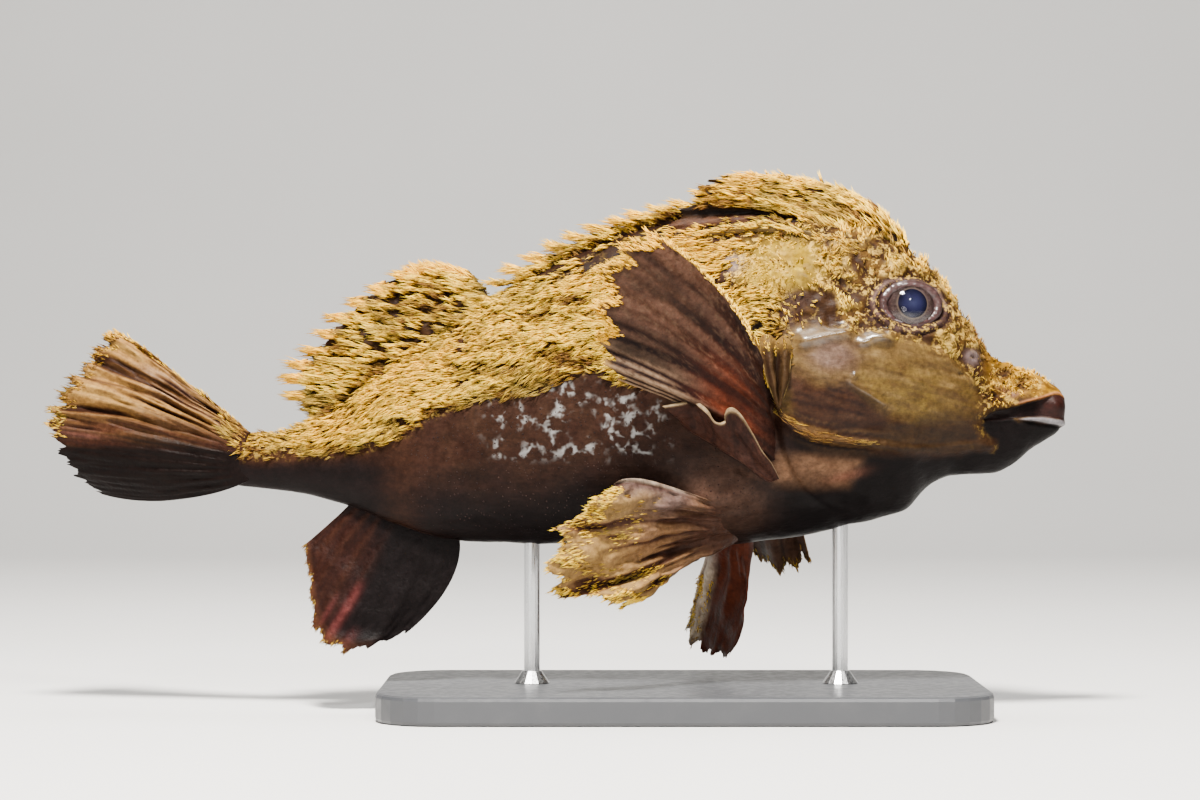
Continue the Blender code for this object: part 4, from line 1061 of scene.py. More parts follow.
def lid_ring(side):
    """The wrinkled fleshy rim of the eye: points, quads and the colour of each point."""
    around, sides = 96, 14
    a = np.linspace(0, 2 * math.pi, around, endpoint=False)[:, None]
    b = np.linspace(0, 2 * math.pi, sides, endpoint=False)[None, :]
    wrinkle = 0.16 * np.sin(9 * a + 2 * np.sin(3 * a)) + 0.10 * np.sin(23 * a + 1.3)
    fullness = LID_RADIUS * (1 + 0.22 * np.sin(a) + 0.05 * wrinkle)
    wide, tall = LID_OPENING
    outwards = fullness * np.cos(b) * 1.25
    x = (wide + outwards) * np.cos(a)
    y = (tall + outwards) * np.sin(a)
    z = LID_HEIGHT + fullness * np.sin(b) * 1.05 + 0.0 * a - 0.5 * np.cos(2 * a) + wrinkle * (np.sin(b) > 0)
    points = from_eye_frame(np.stack([x, y, z], axis=-1), side)
    i, j = np.meshgrid(np.arange(around), np.arange(sides), indexing="ij")
    n, m = (i + 1) % around, (j + 1) % sides
    faces = np.stack([i * sides + j, n * sides + j, n * sides + m, i * sides + m], axis=-1).reshape(-1, 4)
    colour = np.broadcast_to(np.array((0.062, 0.034, 0.033)), (around, sides, 3))
    # Painted shade: the rim darker on its outer side, in its crease, and on its lower half
    colour = mixed(colour, 0.9 * step(0.3, 1.0, np.cos(b)) + 0 * a, (0.022, 0.009, 0.009))
    colour = mixed(colour, 0.65 * step(0.1, -0.9, np.sin(a)) + 0 * b, (0.045, 0.018, 0.018))
    return points.reshape(-1, 3), faces, colour.reshape(-1, 3)


def build_skin(material):
    """One skin over the head, jaw, trunk and tail stalk, with the rims of both eyes."""
    point, _, at, marks = skin_shape()
    finishes = skin_finishes(point, marks)
    count, across = at.shape[:2]
    points = [at.reshape(-1, 3)]
    values = {key: [numbers.reshape(count * across, -1)] for key, numbers in finishes.items()}
    faces = [list(map(tuple, ring_faces(count, across)))]
    total = count * across
    for ring_index, flip in ((0, True), (count - 1, False)):
        ring = ring_index * across + np.arange(across)
        middle = at[ring_index].mean(axis=0)
        points.append(middle[None])
        faces.append(list(map(tuple, fan_faces(ring, total, flip))))
        for key in values:
            inner = finishes[key][ring_index].reshape(across, -1)
            values[key].append(inner[across // 4][None])
        total += 1
    for side in (-1, 1):
        rim, rim_faces, rim_colour = lid_ring(side)
        points.append(rim)
        faces.append(list(map(tuple, rim_faces + total)))
        values["paint"].append(rim_colour)
        values["gloss"].append(np.full((len(rim), 1), 0.6))
        values["mottle"].append(np.zeros((len(rim), 1)))
        values["moss"].append(np.zeros((len(rim), 1)))
        total += len(rim)
    merged = {key: np.concatenate(parts).squeeze() for key, parts in values.items()}
    skin = mesh_piece("skin", np.concatenate(points), sum(faces, []), material, merged)
    fix_normals(skin)
    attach(skin, "root")
    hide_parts("head", "lower_jaw", "torso", "tail_stalk")


def dome(name, side, material, radius, depth, reach, rings, around, ringed):
    """A cap of an ellipsoid that looks out of the eye's frame, closed at its back."""
    theta = np.linspace(0, reach, rings)[1:, None]
    phi = np.linspace(0, 2 * math.pi, around, endpoint=False)[None, :]
    out = radius * np.sin(theta)
    local = np.stack([out * np.cos(phi), out * np.sin(phi), depth * np.cos(theta) + 0 * phi], axis=-1)
    local = local.reshape(-1, 3)
    back = [(0, 0, depth * math.cos(reach))]
    local = np.concatenate([[(0, 0, depth)], local, back])
    points = from_eye_frame(local, side)
    faces = list(map(tuple, ring_faces(rings - 1, around, first=1)))
    faces += list(map(tuple, fan_faces(1 + np.arange(around), 0, False)))
    last = 1 + (rings - 2) * around + np.arange(around)
    faces += list(map(tuple, fan_faces(last, len(points) - 1, True)))
    ring = np.hypot(local[:, 0], local[:, 1])
    obj = mesh_piece(name, points, faces, material, {"ring": ring} if ringed else None)
    fix_normals(obj)
    return obj


def build_eyes(material, clear):
    for side, word in ((-1, "right"), (1, "left")):
        ball = dome("eyeball_" + word, side, material, EYE_RADIUS, EYE_DEPTH, math.radians(165), 60, 96, True)
        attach(ball, "root")
        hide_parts("eye_" + word)
        cover_size = EYE_RADIUS + 0.1, EYE_DEPTH + 0.7, math.radians(72)
        cover = dome("cornea_" + word, side, clear, *cover_size, 24, 72, False)
        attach(cover, "root")


def fin_values(fin, u, v):
    """How much of a ray there is at shares u and v of a fin, whose uneven rays branch outwards."""
    _, rays, spec = fin
    seed = spec["seed"]
    drift = spec["drift"] * pattern(u * rays * 0.55, v * 1.6, seed, 51)
    phase = u * (rays - 1) + drift * np.minimum(1, 4 * np.minimum(u, 1 - u))
    single = np.abs(np.cos(math.pi * phase)) ** 3
    twin = np.abs(np.cos(2 * math.pi * phase)) ** 2
    split = step(0.45, 0.85, v)
    ray = single * (1 - split) + np.maximum(single * 0.75, twin * 0.8) * split
    return ray * (0.80 + 0.25 * pattern(phase * 0.9, v * 2, seed, 52)), phase


def fin_margin(fin, u):
    """The share of the rays' length that the ragged margin leaves at share u across a fin."""
    spec = fin[2]
    _, phase = fin_values(fin, u, np.ones_like(u))
    seeds = np.stack([u * 40, 0 * u, 0 * u + spec["seed"]], axis=-1)
    ragged = spec["notch"] * (1 - np.abs(np.cos(math.pi * phase)) ** 1.5)
    ragged = ragged + spec["ragged"] * (0.5 + 0.5 * lumps(seeds, 1.0, 21) + 0.5 * lumps(seeds * 3.1, 1.0, 22))
    return 1 - ragged


def fin_sheet(fin, u, v):
    """A fin at shares u and v: pleated middle, normals, half thickness, rays, and dark streaks with painted
    fold shade.
    """
    guides, rays, spec = fin
    seed = spec["seed"]
    ray, phase = fin_values(fin, u, v)
    streak = 0.65 * pattern(phase * 2.6, v * 2.4, seed, 41)
    streak = streak + 0.45 * pattern(phase * 5.5, v * 6.0, seed, 42)
    middle = fin_middle(guides, u, v)
    small = 0.004
    ahead = fin_middle(guides, u, v + small) - fin_middle(guides, u, v - small)
    over = fin_middle(guides, np.minimum(u + small, 1), v) - fin_middle(guides, np.maximum(u - small, 0), v)
    normal = unit(np.cross(ahead, over))
    free = step(0.03, 0.32, v)
    pleat = v * np.cos(math.pi * phase)
    ripple = spec["ripple"] * step(0.1, 0.9, v) * lumps(middle * (0.5, 1, 1), 9, 31 + seed)
    over_folds, along_folds = spec["fold_rate"]
    crumple = pattern(phase * over_folds, v * along_folds, seed, 43)
    crumple = crumple + 0.5 * pattern(phase * 2.2 * over_folds + 3 * v, v * 1.9 * along_folds, seed, 44)
    fold = 1 - 0.85 * spec["calm"](u, v)
    lift = (spec["pleat"] * pleat + ripple + spec["crumple"] * crumple) * free * fold
    middle = middle + normal * lift[..., None]
    root = spec["root"] * step(0.42, 0.03, v)
    raised = ray * free * (spec["ray"] * (1 - v) + 0.45 * v)
    half = 0.5 * (spec["membrane"] * (1 - 0.4 * v) + raised) + 0.5 * root
    half = half + spec["growth"](u, v) * 0.5 - spec["wrinkle"] * streak * (0.35 + 0.65 * free) * fold
    rim = np.minimum(u, 1 - u) * (rays - 1)
    half = np.maximum(half * (0.55 + 0.45 * step(0, 0.35, rim)), 0.12)
    # Painted shade and light: the streaks darken in the valleys of the folds and pleats and lighten on their
    # crests, by the fin's shade
    streak = streak + spec["shade"] * (0.6 * crumple + 0.5 * pleat)
    return middle, normal, half, ray, streak


def fin_grids(fin):
    """Front and back grids of a fin in metres, its shares across and along, rays, and streaks with painted
    fold shade.
    """
    _, rays, spec = fin
    columns, rows = 14 * (rays - 1) + 1, spec["rows"]
    u = np.broadcast_to(np.linspace(0, 1, columns)[None, :], (rows, columns))
    base = np.linspace(0, 1, rows)[:, None]
    v = base * fin_margin(fin, u)
    middle, normal, half, ray, streak = fin_sheet(fin, u, v)
    half = half * (1 - 0.6 * step(0.93, 1.0, base))
    offset = normal * half[..., None]
    return place(middle + offset), place(middle - offset), u, v, ray, streak


def sheet_faces(rows, cols):
    i, j = np.meshgrid(np.arange(rows - 1), np.arange(cols - 1), indexing="ij")
    a = (i * cols + j).ravel()
    front = np.stack([a, a + 1, a + cols + 1, a + cols], axis=1)
    back = front[:, ::-1] + rows * cols
    rim = list(range(cols))
    rim += [n * cols + cols - 1 for n in range(1, rows)]
    rim += [(rows - 1) * cols + n for n in range(cols - 2, -1, -1)]
    rim += [n * cols for n in range(rows - 2, 0, -1)]
    rim = np.array(rim)
    onward = np.roll(rim, -1)
    edge = np.stack([onward, rim, rim + rows * cols, onward + rows * cols], axis=1)
    return np.concatenate([front, back, edge])


def build_fin(name, fin, material):
    front, back, u, v, ray, streak = fin_grids(fin)
    points = np.concatenate([front.reshape(-1, 3), back.reshape(-1, 3)])
    colour = fin[2]["paint"](u, v, ray, streak).reshape(-1, 3)
    values = {"paint": np.tile(colour * PAINT_DEPTH, (2, 1))}
    piece = mesh_piece(name + "_membrane", points, sheet_faces(*u.shape), material, values)
    fix_normals(piece)
    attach(piece, "root")
    return piece


def back_spine_guides():
    """The folded spines behind the crest, each raked back from the ridge of the back."""
    guides = []
    for root in np.linspace(BACK_SPINES_START, BACK_SPINES_END, BACK_SPINE_COUNT):
        tip = root + BACK_SPINE_REACH
        low, high = float(station(1, root)) - BACK_FIN_SINK, float(station(1, tip)) + BACK_SPINE_RISE
        bend = (root + 2, 0, low + 0.45 * (high - low) + 3)
        guides.append([(root, 0, low), bend, (root + 8, -1, high - 2), (tip, -2, high)])
    return guides


def none_of_it(u, v):
    return 0 * u


# What a fin is unless its own plan says otherwise, with thicknesses in millimetres
PLAIN_FIN = dict(rows=90, notch=0.05, ragged=0.03, pleat=0.8, ripple=0.8, crumple=0.35, fold_rate=(1.1, 7.0))
PLAIN_FIN |= dict(shade=0.0, wrinkle=0.10, membrane=0.7, ray=2.0, root=3.0, drift=0.30, seed=1)
PLAIN_FIN |= dict(growth=none_of_it, calm=none_of_it)


def caudal_calm(u, v):
    """1 in the smooth lower third of the caudal fin, which the folds leave out."""
    return step(-0.05, 0.08, u - 0.34 - 0.22 * v)


def caudal_paint(u, v, ray, streak):
    # A painted lilac sheen on the crests near the top of the fin
    lilac = bell(u, 0.16, 0.06) * bell(v, 0.48, 0.16) * step(0.3, -0.3, streak)
    crease = bell(u, 0.57, 0.02) * step(0.55, 0.75, v) * step(0.3, -0.2, streak)
    edge = 0.34 + 0.22 * v + 0.05 * streak
    # The streaks carry painted fold shade: the darks fall in the valleys and the pale layer on the crests
    return layered(
        flat_colour(u, (0.44, 0.230, 0.060)),
        (step(-0.05, 0.30, streak), (0.17, 0.078, 0.026)),
        (step(0.30, 0.65, streak), (0.038, 0.014, 0.007)),
        (0.7 * step(-0.35, -0.8, streak), (0.60, 0.36, 0.10)),
        (0.95 * step(0.24, 0.04, v), (0.050, 0.019, 0.010)),
        (0.9 * lilac, (0.46, 0.38, 0.42)),
        (0.7 * step(0.92, 0.99, v), (0.46, 0.23, 0.05)),
        (0.85 * step(-0.14, 0.0, u - edge), (0.075, 0.025, 0.013)),
        (0.98 * step(-0.03, 0.16, u - edge), (0.0062, 0.0030, 0.0028)),
        (0.7 * crease, (0.16, 0.060, 0.045)),
    )


def soft_dorsal_paint(u, v, ray, streak):
    return mixed(flat_colour(u, (0.050, 0.022, 0.007)), step(0.1, 0.6, streak), (0.020, 0.008, 0.004))


def crest_shadow_furrow(u, v):
    """1 in the furrow that runs the length of the crest under its upper lobe, painted near black as shade."""
    return bell(u, 0.77 - 0.14 * v, 0.055)


def crest_paint(u, v, ray, streak):
    brown = mixed(flat_colour(u, (0.105, 0.045, 0.022)), step(-0.2, 0.4, streak), (0.026, 0.010, 0.006))
    furrow = np.maximum(crest_shadow_furrow(u, v), bell(u, 0.885, 0.028))
    return layered(
        flat_colour(u, (0.070, 0.032, 0.008)),
        (step(0.1, 0.6, streak), (0.022, 0.009, 0.004)),
        (step(0.64, 0.74, u), brown),
        # Painted shade, near black, in the furrows under the upper lobe and under the band
        (0.97 * furrow, (0.007, 0.0035, 0.0025)),
        (bell(u, 0.965, 0.045) * step(0.8, 0.0, streak), (0.60, 0.42, 0.15)),
    )


def crest_growth(u, v):
    """The thick growth of the crest: its upper lobe, the band under it and the rope along its foot."""
    upper = 8.5 * (1 - 0.35 * v) * step(0.72, 0.60, u + 0.14 * v - 0.04)
    band = 4.0 * bell(u, 0.82 - 0.04 * v, 0.06)
    rope = 6.0 * bell(u, 0.965, 0.045) * (1 + 0.35 * pattern(0, v * 11, 0, 57))
    return upper + band + rope


def back_spine_paint(u, v, ray, streak):
    return mixed(flat_colour(u, (0.045, 0.020, 0.010)), step(0.60, 0.85, v), (0.26, 0.15, 0.035))


def anal_paint(u, v, ray, streak):
    rear = step(0.42, 0.72, u + 0.05 * streak)
    pink = bell(u, 0.50 + 0.02 * v, 0.026) * step(0.45, 0.62, v)
    pink = pink + 0.55 * bell(u, 0.60, 0.018) * step(0.62, 0.78, v)
    pink = pink + 0.5 * bell(u, 0.41, 0.035) * step(0.74, 0.90, v)
    return layered(
        flat_colour(u, (0.0085, 0.0058, 0.0062)),
        (rear * step(0.02, 0.35, v), (0.030, 0.0100, 0.0070)),
        (rear * ray * 0.6, (0.056, 0.020, 0.011)),
        (0.9 * pink, (0.15, 0.036, 0.034)),
        (0.8 * step(0.84, 0.97, v) * step(0.15, 0.5, u), (0.115, 0.042, 0.018)),
    )


def pectoral_paint(u, v, ray, streak):
    hollow = step(0.50, 0.62, u) * step(0.35, 0.6, v) * step(0.35, 0.1, ray)
    pale = step(0.55, 0.85, u) * step(0.45, 0.8, v) * step(0.2, 0.6, ray)
    specks = pattern(u * 70, v * 60, 0, 96)
    glow = bell(u, 0.66, 0.26) * bell(v, 0.36, 0.15)
    return layered(
        flat_colour(u, (0.024, 0.0095, 0.0065)),
        (step(0.45, 0.8, v) * step(0.6, 0.3, u), (0.085, 0.040, 0.023)),
        (0.8 * step(0.15, 0.7, ray) * step(0.25, 0.5, v), (0.115, 0.057, 0.037)),
        (0.85 * hollow, (0.012, 0.0052, 0.0050)),
        (pale, (0.38, 0.25, 0.155)),
        (0.7 * step(0.3, 0.7, specks) * step(0.1, 0.3, v), (0.12, 0.068, 0.042)),
        (0.85 * glow, (0.215, 0.046, 0.019)),
        # The streaks carry painted fold shade, darkest in the valleys
        (0.7 * step(0.15, 0.7, streak), (0.012, 0.0055, 0.0048)),
        (0.8 * step(0.022, 0.004, u), (0.46, 0.28, 0.11)),
        (step(0.95, 0.99, v), (0.42, 0.24, 0.07)),
    )


def pelvic_paint(u, v, ray, streak):
    lilac = step(0.44, 0.14, u + 0.14 * streak) * step(0.22, 0.45, v)
    rim = np.maximum(step(0.05, 0.01, u), step(0.955, 0.99, u)) * step(0.30, 0.5, v)
    gold = step(0.42, 0.75, v + 0.10 * streak) * step(0.02, 0.2, u)
    return layered(
        flat_colour(u, (0.34, 0.180, 0.080)),
        # The streaks carry painted fold shade: dark in the valleys, pale on the crests
        (step(-0.05, 0.30, streak), (0.085, 0.034, 0.018)),
        (step(0.30, 0.70, streak), (0.020, 0.0075, 0.005)),
        (0.6 * step(-0.30, -0.8, streak), (0.42, 0.23, 0.12)),
        (0.85 * lilac * step(0.6, 0.0, streak), (0.165, 0.112, 0.105)),
        (0.8 * rim, (0.52, 0.40, 0.30)),
        (0.85 * gold * step(0.3, -0.3, streak), (0.44, 0.270, 0.085)),
        (step(0.46, 0.20, v), (0.085, 0.040, 0.026)),
    )


def left_pelvic_paint(u, v, ray, streak):
    """Rust red with one pale lilac strip along its rear edge."""
    strip = layered(
        flat_colour(u, (0.95, 0.80, 0.60)),
        # The streaks carry painted fold shade in the valleys
        (0.7 * step(0.0, 0.5, streak), (0.16, 0.08, 0.045)),
        (step(0.45, 0.1, v), (0.36, 0.28, 0.27)),
    )
    return layered(
        flat_colour(u, (0.125, 0.030, 0.014)),
        # The streaks carry painted fold shade in the valleys
        (0.6 * step(0.1, 0.6, streak), (0.035, 0.010, 0.007)),
        (step(0.64, 0.78, u + 0.04 * streak), strip),
    )


def ruffle_guides():
    """Rays of the ruffled flap, from its root along the body to its free wavy edge."""
    edge, root = np.array(RUFFLE_EDGE, float), np.array(RUFFLE_ROOT, float)
    share = np.linspace(0, len(root) - 1, len(edge))
    guides = []
    for n, top in enumerate(edge):
        low = np.array([np.interp(share[n], np.arange(len(root)), root[:, k]) for k in range(3)])
        out = np.array([0.0, -4.0, 0.0])
        guides.append([low, low * 0.66 + top * 0.34 + out, low * 0.33 + top * 0.67 + out, top])
    return guides


def ruffle_growth(u, v):
    """The thick rolled edge of the ruffled flap."""
    return 1.7 * bell(v, 0.94, 0.06) * (1 + 0.5 * bell(u, 0.23, 0.05))


def ruffle_paint(u, v, ray, streak):
    return layered(
        flat_colour(u, (0.060, 0.024, 0.016)),
        (step(0.0, 0.6, streak), (0.035, 0.015, 0.011)),
        (0.6 * step(0.35, 0.05, v) * step(0.3, 0.7, u), (0.13, 0.062, 0.048)),
        (step(0.86, 0.94, v), (0.38, 0.27, 0.15)),
    )


def gill_flap_guides(side):
    """Two soft lobes that hang side by side from the gill's upper corner to one point."""
    rows = [
        [(154, 37, 35), (154, 42, 26), (151, 43, 14), (145.5, 42, 2)],
        [(150, 38, 37), (150, 45, 27), (148, 46, 15), (145, 43, 1)],
        [(146, 37, 34), (146, 40, 25), (146, 40, 14), (144.8, 42, 1)],
        [(142.5, 38, 36), (141, 45, 27), (142.5, 46, 14), (144.5, 43, 1.5)],
        [(139, 37, 33), (138.5, 42, 24), (140, 43, 12), (144, 42, 3)],
    ]
    return [[(s, side * y, h) for s, y, h in row] for row in rows]


def gill_flap_paint(u, v, ray, streak):
    return layered(
        flat_colour(u, (0.070, 0.038, 0.016)),
        (step(0.0, 0.6, streak), (0.030, 0.013, 0.007)),
        # Painted shade in the valley between the two lobes
        (0.95 * bell(u, 0.5, 0.11), (0.012, 0.006, 0.004)),
        (step(0.28, 0.05, v), (0.26, 0.15, 0.04)),
        (0.9 * np.maximum(step(0.08, 0.02, u), step(0.92, 0.98, u)), (0.50, 0.34, 0.12)),
    )


def fin_plan():
    """Each fin by its node's name: its guides, its number of rays and how it differs from a plain fin."""
    arm = dict(pleat=2.2, ray=3.0, root=5.0, ragged=0.035, crumple=0.9, fold_rate=(0.9, 3.5), shade=0.35)
    arm |= dict(drift=0.45, paint=pectoral_paint)
    flat = dict(rows=40, pleat=0.0, notch=0.0, ragged=0.0, ray=0.3)
    flap = flat | dict(ripple=0.4, root=1.0, membrane=1.2, paint=gill_flap_paint)
    caudal = dict(wrinkle=0.55, ripple=1.6, pleat=0.6, ragged=0.05, notch=0.035, crumple=2.3, root=9.0)
    caudal |= dict(fold_rate=(2.3, 4.0), shade=0.65, calm=caudal_calm, paint=caudal_paint, seed=3)
    crest = dict(growth=crest_growth, root=2.0, pleat=0.2, ripple=1.4, crumple=0.6, wrinkle=0.45, ray=0.6)
    crest |= dict(paint=crest_paint)
    spines = dict(notch=0.42, rows=40, pleat=0.0, ripple=0.3, drift=0.0, paint=back_spine_paint)
    pelvic = dict(pleat=2.2, ray=2.0, crumple=2.8, fold_rate=(2.7, 7.5), shade=0.55, wrinkle=0.6, root=15.0)
    pelvic |= dict(ragged=0.05, paint=pelvic_paint, seed=11)
    left_pelvic = dict(pleat=1.0, crumple=1.2, shade=0.4, wrinkle=0.4, root=9.0, seed=13)
    left_pelvic |= dict(paint=left_pelvic_paint)
    ruffle = flat | dict(ripple=0.5, growth=ruffle_growth, paint=ruffle_paint)
    plans = {
        "caudal_fin": (CAUDAL_GUIDES, 14, caudal),
        "soft_dorsal_fin": (SOFT_DORSAL_GUIDES, 13, dict(rows=60, ragged=0.05, paint=soft_dorsal_paint)),
        "anal_fin": (ANAL_GUIDES, 9, dict(notch=0.05, ripple=1.3, ragged=0.04, paint=anal_paint, seed=5)),
        "dorsal_crest": (CREST_GUIDES, 9, crest),
        "spiny_dorsal_fin": (back_spine_guides(), BACK_SPINE_COUNT, spines),
        "pectoral_fin_right": (PECTORAL_RIGHT_GUIDES, 7, arm | dict(notch=0.05, seed=7)),
        "pectoral_fin_left": (PECTORAL_LEFT_GUIDES, 8, arm | dict(seed=9)),
        "pelvic_fin_right": (PELVIC_RIGHT_GUIDES, 7, pelvic),
        "pelvic_fin_left": (PELVIC_LEFT_GUIDES, 6, left_pelvic),
        "pectoral_ruffle": (ruffle_guides(), 8, ruffle),
        "gill_flap_right": (gill_flap_guides(-1), 5, flap),
        "gill_flap_left": (gill_flap_guides(1), 5, flap),
    }
    return {name: (guides, rays, PLAIN_FIN | changes) for name, (guides, rays, changes) in plans.items()}


def blades(root, control, tip, across, width):
    """Three-sided tapered blades along quadratic curves: their points and triangles."""
    t = BLADE_SHARES[None, :, None]
    centre = root[:, None] * (1 - t) ** 2 + 2 * control[:, None] * t * (1 - t) + tip[:, None] * t**2
    over = unit(np.cross(tip - root, across))
    corners = np.radians([90, 210, 330])
    thick = width[:, None] * BLADE_WIDTHS[None, :]
    ring = (
        centre[:, :, None]
        + across[:, None, None] * (np.cos(corners)[None, None, :, None] * thick[:, :, None, None])
        + over[:, None, None] * (np.sin(corners)[None, None, :, None] * thick[:, :, None, None] * 0.7)
    )
    points = np.concatenate([ring.reshape(len(root), -1, 3), tip[:, None]], axis=1)
    faces = [(2, 1, 0)]
    for j in range(3):
        k = (j + 1) % 3
        faces += [(j, k, 3 + k), (j, 3 + k, 3 + j), (3 + j, 3 + k, 6)]
    faces = np.array(faces)[None] + 7 * np.arange(len(root))[:, None, None]
    return points.reshape(-1, 3), faces.reshape(-1, 3)


def clumps_to_blades(clump, random):
    """Spreads each clump of algae into blades that lean together into one ragged, pointed tuft.

    clump holds arrays for n clumps: at, normal, lie, length, lift, spread, width, tone, rust, uv and count.
    """
    count = clump["count"]
    n = np.repeat(np.arange(len(count)), count)
    at, normal, lie = clump["at"][n], clump["normal"][n], clump["lie"][n]
    length, lift = clump["length"][n], clump["lift"][n]
    side = unit(np.cross(normal, lie))
    radius = clump["spread"][n] * np.sqrt(random.random(len(n)))
    turn = random.random(len(n)) * 2 * math.pi
    offset = side * (radius * np.cos(turn))[:, None] + lie * (radius * np.sin(turn) * 1.5)[:, None]
    reach = length * random.uniform(0.50, 1.10, len(n))
    up = lift * random.uniform(0.45, 1.25, len(n))
    root = at + offset - normal * (0.5 * MM)
    tip = at + offset * 0.32 + lie * reach[:, None] + normal * up[:, None]
    tip = tip + side * (length * random.normal(0, 0.07, len(n)))[:, None]
    control = at + offset * 0.95 + lie * (reach * 0.42)[:, None] + normal * (up * 0.85)[:, None]
    control = control + side * (length * random.normal(0, 0.06, len(n)))[:, None]
    width = clump["width"][n] * random.uniform(0.7, 1.3, len(n))
    tone = np.clip(clump["tone"][n] + random.normal(0, 0.13, len(n)), 0, 1)
    return root, control, tip, side, width, tone, clump["rust"][n], clump["uv"][n]


def build_turf(name, clump, material, random):
    """Tufts of algae as closed tapered blades, in pieces that stay small enough."""
    root, control, tip, side, width, tone, rust, uv = clumps_to_blades(clump, random)
    total = len(root)
    pieces = max(1, math.ceil(total / MAX_BLADES_A_PIECE))
    for piece in range(pieces):
        part = slice(piece * total // pieces, (piece + 1) * total // pieces)
        points, faces = blades(root[part], control[part], tip[part], side[part], width[part])
        n = len(root[part])
        corners = len(points) // n
        along = np.tile(np.concatenate([np.repeat(BLADE_SHARES, 3), [1.0]]), n)
        patch = np.array([(math.cos(0.9 * k), math.sin(0.9 * k)) for k in range(corners)]) * 0.0012
        uv_points = (uv[part][:, None] + patch[None]).reshape(-1, 2)
        values = {"along": along}
        values |= {"tone": np.repeat(tone[part], corners), "rust": np.repeat(rust[part], corners)}
        word = name if pieces == 1 else f"{name}_{piece + 1}"
        turf = mesh_piece(word, points, faces, material, values, uv_points[faces.ravel()])
        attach(turf, "root")


def body_clumps(random):
    """Clumps over the skin, evenly spread by length along and around the body, and closer on the head."""
    found = []
    for s in np.arange(4.0, 416.0, TUFT_PITCH):
        fine = np.linspace(0, 2 * math.pi, 361)
        ring = body_point(s, fine)
        lengths = np.concatenate([[0], np.cumsum(np.linalg.norm(np.diff(ring, axis=0), axis=1))])
        number = int(lengths[-1] / TUFT_PITCH * (TRUNK_TUFTS if s > 140 else HEAD_TUFTS))
        spots = (np.arange(number) + random.random(number)) / number * lengths[-1]
        a = np.interp(spots, lengths, fine)
        found.append(np.column_stack([s + random.uniform(-0.5, 0.5, number) * TUFT_PITCH, a]))
    spots = np.concatenate(found)
    s, a = spots[:, 0], spots[:, 1]
    point = body_point(s, a)
    h = point[:, 2]
    share = coat_share(s, h)
    patchy = step(148, 128, s)
    clods = face_clods(point)
    bare = 0.85 * step(0.15, -0.35, lumps(point, 7, 92) + 0.6 * lumps(point, 24, 91))
    bare = np.maximum(bare, 0.97 * step(0.20, -0.06, clods))
    bare = bare * (1 - 0.8 * spot(s, h, (27, 14), 11, 1.6))
    gaps = 0.8 * step(-0.1, -0.6, lumps(point * (0.45, 1, 1.1), 5, 75))
    share = share * (1 - bare * patchy) * (1 - gaps * (1 - patchy))
    keep = random.random(len(s)) < share * 1.15
    for side in (-1, 1):
        local, ring = around_eye(place(point), side, EYE_CLEARANCE)
        keep &= ~((ring < 1.32) & (local[:, 2] > -4))
    keep &= ~((gape_mask(s, h) > 0.01) | (s < 3.5))
    s, a, point, clods = s[keep], a[keep], point[keep], clods[keep]
    h = point[:, 2]
    at, normal, ahead = on_skin(s, a)
    lie = unit(ahead)
    down = unit(np.cross(normal, lie)) * np.sign(np.sin(a))[:, None]
    flank = step(132, 160, s)
    curl = 2.2 * (lumps(point, 9, 72) + 0.5 * lumps(point, 3.5, 73)) * (1 - flank)
    sway = 0.42 * lumps(point, 18, 71) + 0.26 * lumps(point, 6, 74) + random.normal(0, 0.16, len(s)) + curl
    lie = unit(lie * np.cos(curl)[:, None] - down * (sway + 0.14 * flank)[:, None])
    nape = zone(s, h, SMOOTH_NAPE, 4.0)
    length = 2.7 + 4.2 * flank * step(405, 340, s) + 1.4 * step(345, 385, s)
    length = length + 1.0 * step(60, 90, s) * step(58, 76, h) * (1 - flank)
    length = length + 3.0 * spot(s, h, (69, 79), 6)
    growth = random.random(len(s))
    length = (length - nape * (length - 2.0)) * (0.50 + 0.85 * growth)
    lift = length * (0.18 + 0.30 * random.random(len(s)) + 0.08 * (1 - flank) + 0.15 * nape) + 0.2
    below = station(1, s) - h
    face = 1.7 * clods - 0.08 + 0.30 * step(20, 6, below) * step(50, 80, s)
    face = face + 0.65 * spot(s, h, (24, 13), 12, 1.6)
    face = face + 0.75 * bell(np.hypot(s - 133, (h - 50) / 1.5), 0, 14)
    # Painted shade: tufts darker in front of and below the eye; the nape's tufts paler
    face = face - 0.45 * bell(np.hypot(s - 57, (h - 32) / 1.3), 0, 15) + 0.45 * nape
    tone = 0.64 * flank + face * (1 - flank) + 0.40 * (growth - 0.5)
    tone = tone + 0.34 * lumps(point * (0.4, 1, 1.3), 9, 81) + 0.16 * lumps(point * (0.6, 1, 1.2), 24, 86)
    tone = tone + 0.38 * flank * turf_swell(point) + 0.24 * lumps(point * (0.5, 1, 1.2), 4.0, 82)
    tone = tone + random.normal(0, 1, len(s)) * (0.15 + 0.2 * nape)
    # Painted shade: the tufts darker along the lower edge of the algae
    tone = tone - 0.40 * step(9, 1, h - along_points(COAT_EDGE, s)) * flank
    gold = 0.30 * (1 - flank) + 0.25 * step(30, 12, station(1, s) - h) + 0.35 * lumps(point, 30, 85)
    return {
        "at": at,
        "normal": normal,
        "lie": lie,
        "length": length * MM,
        "lift": lift * MM,
        "spread": (0.60 + 0.085 * length) * MM,
        "width": (0.16 + 0.030 * length) * MM,
        "tone": np.clip(tone, 0, 1),
        "rust": np.clip(gold, 0, 0.7),
        "uv": body_uv(s, a),
        "count": np.clip((2.6 + 0.60 * length).astype(int), 3, 8),
    }


def body_uv(s, a):
    return np.column_stack([0.02 + 0.96 * s / STALK_END, 0.02 + 0.96 * a / (2 * math.pi)])


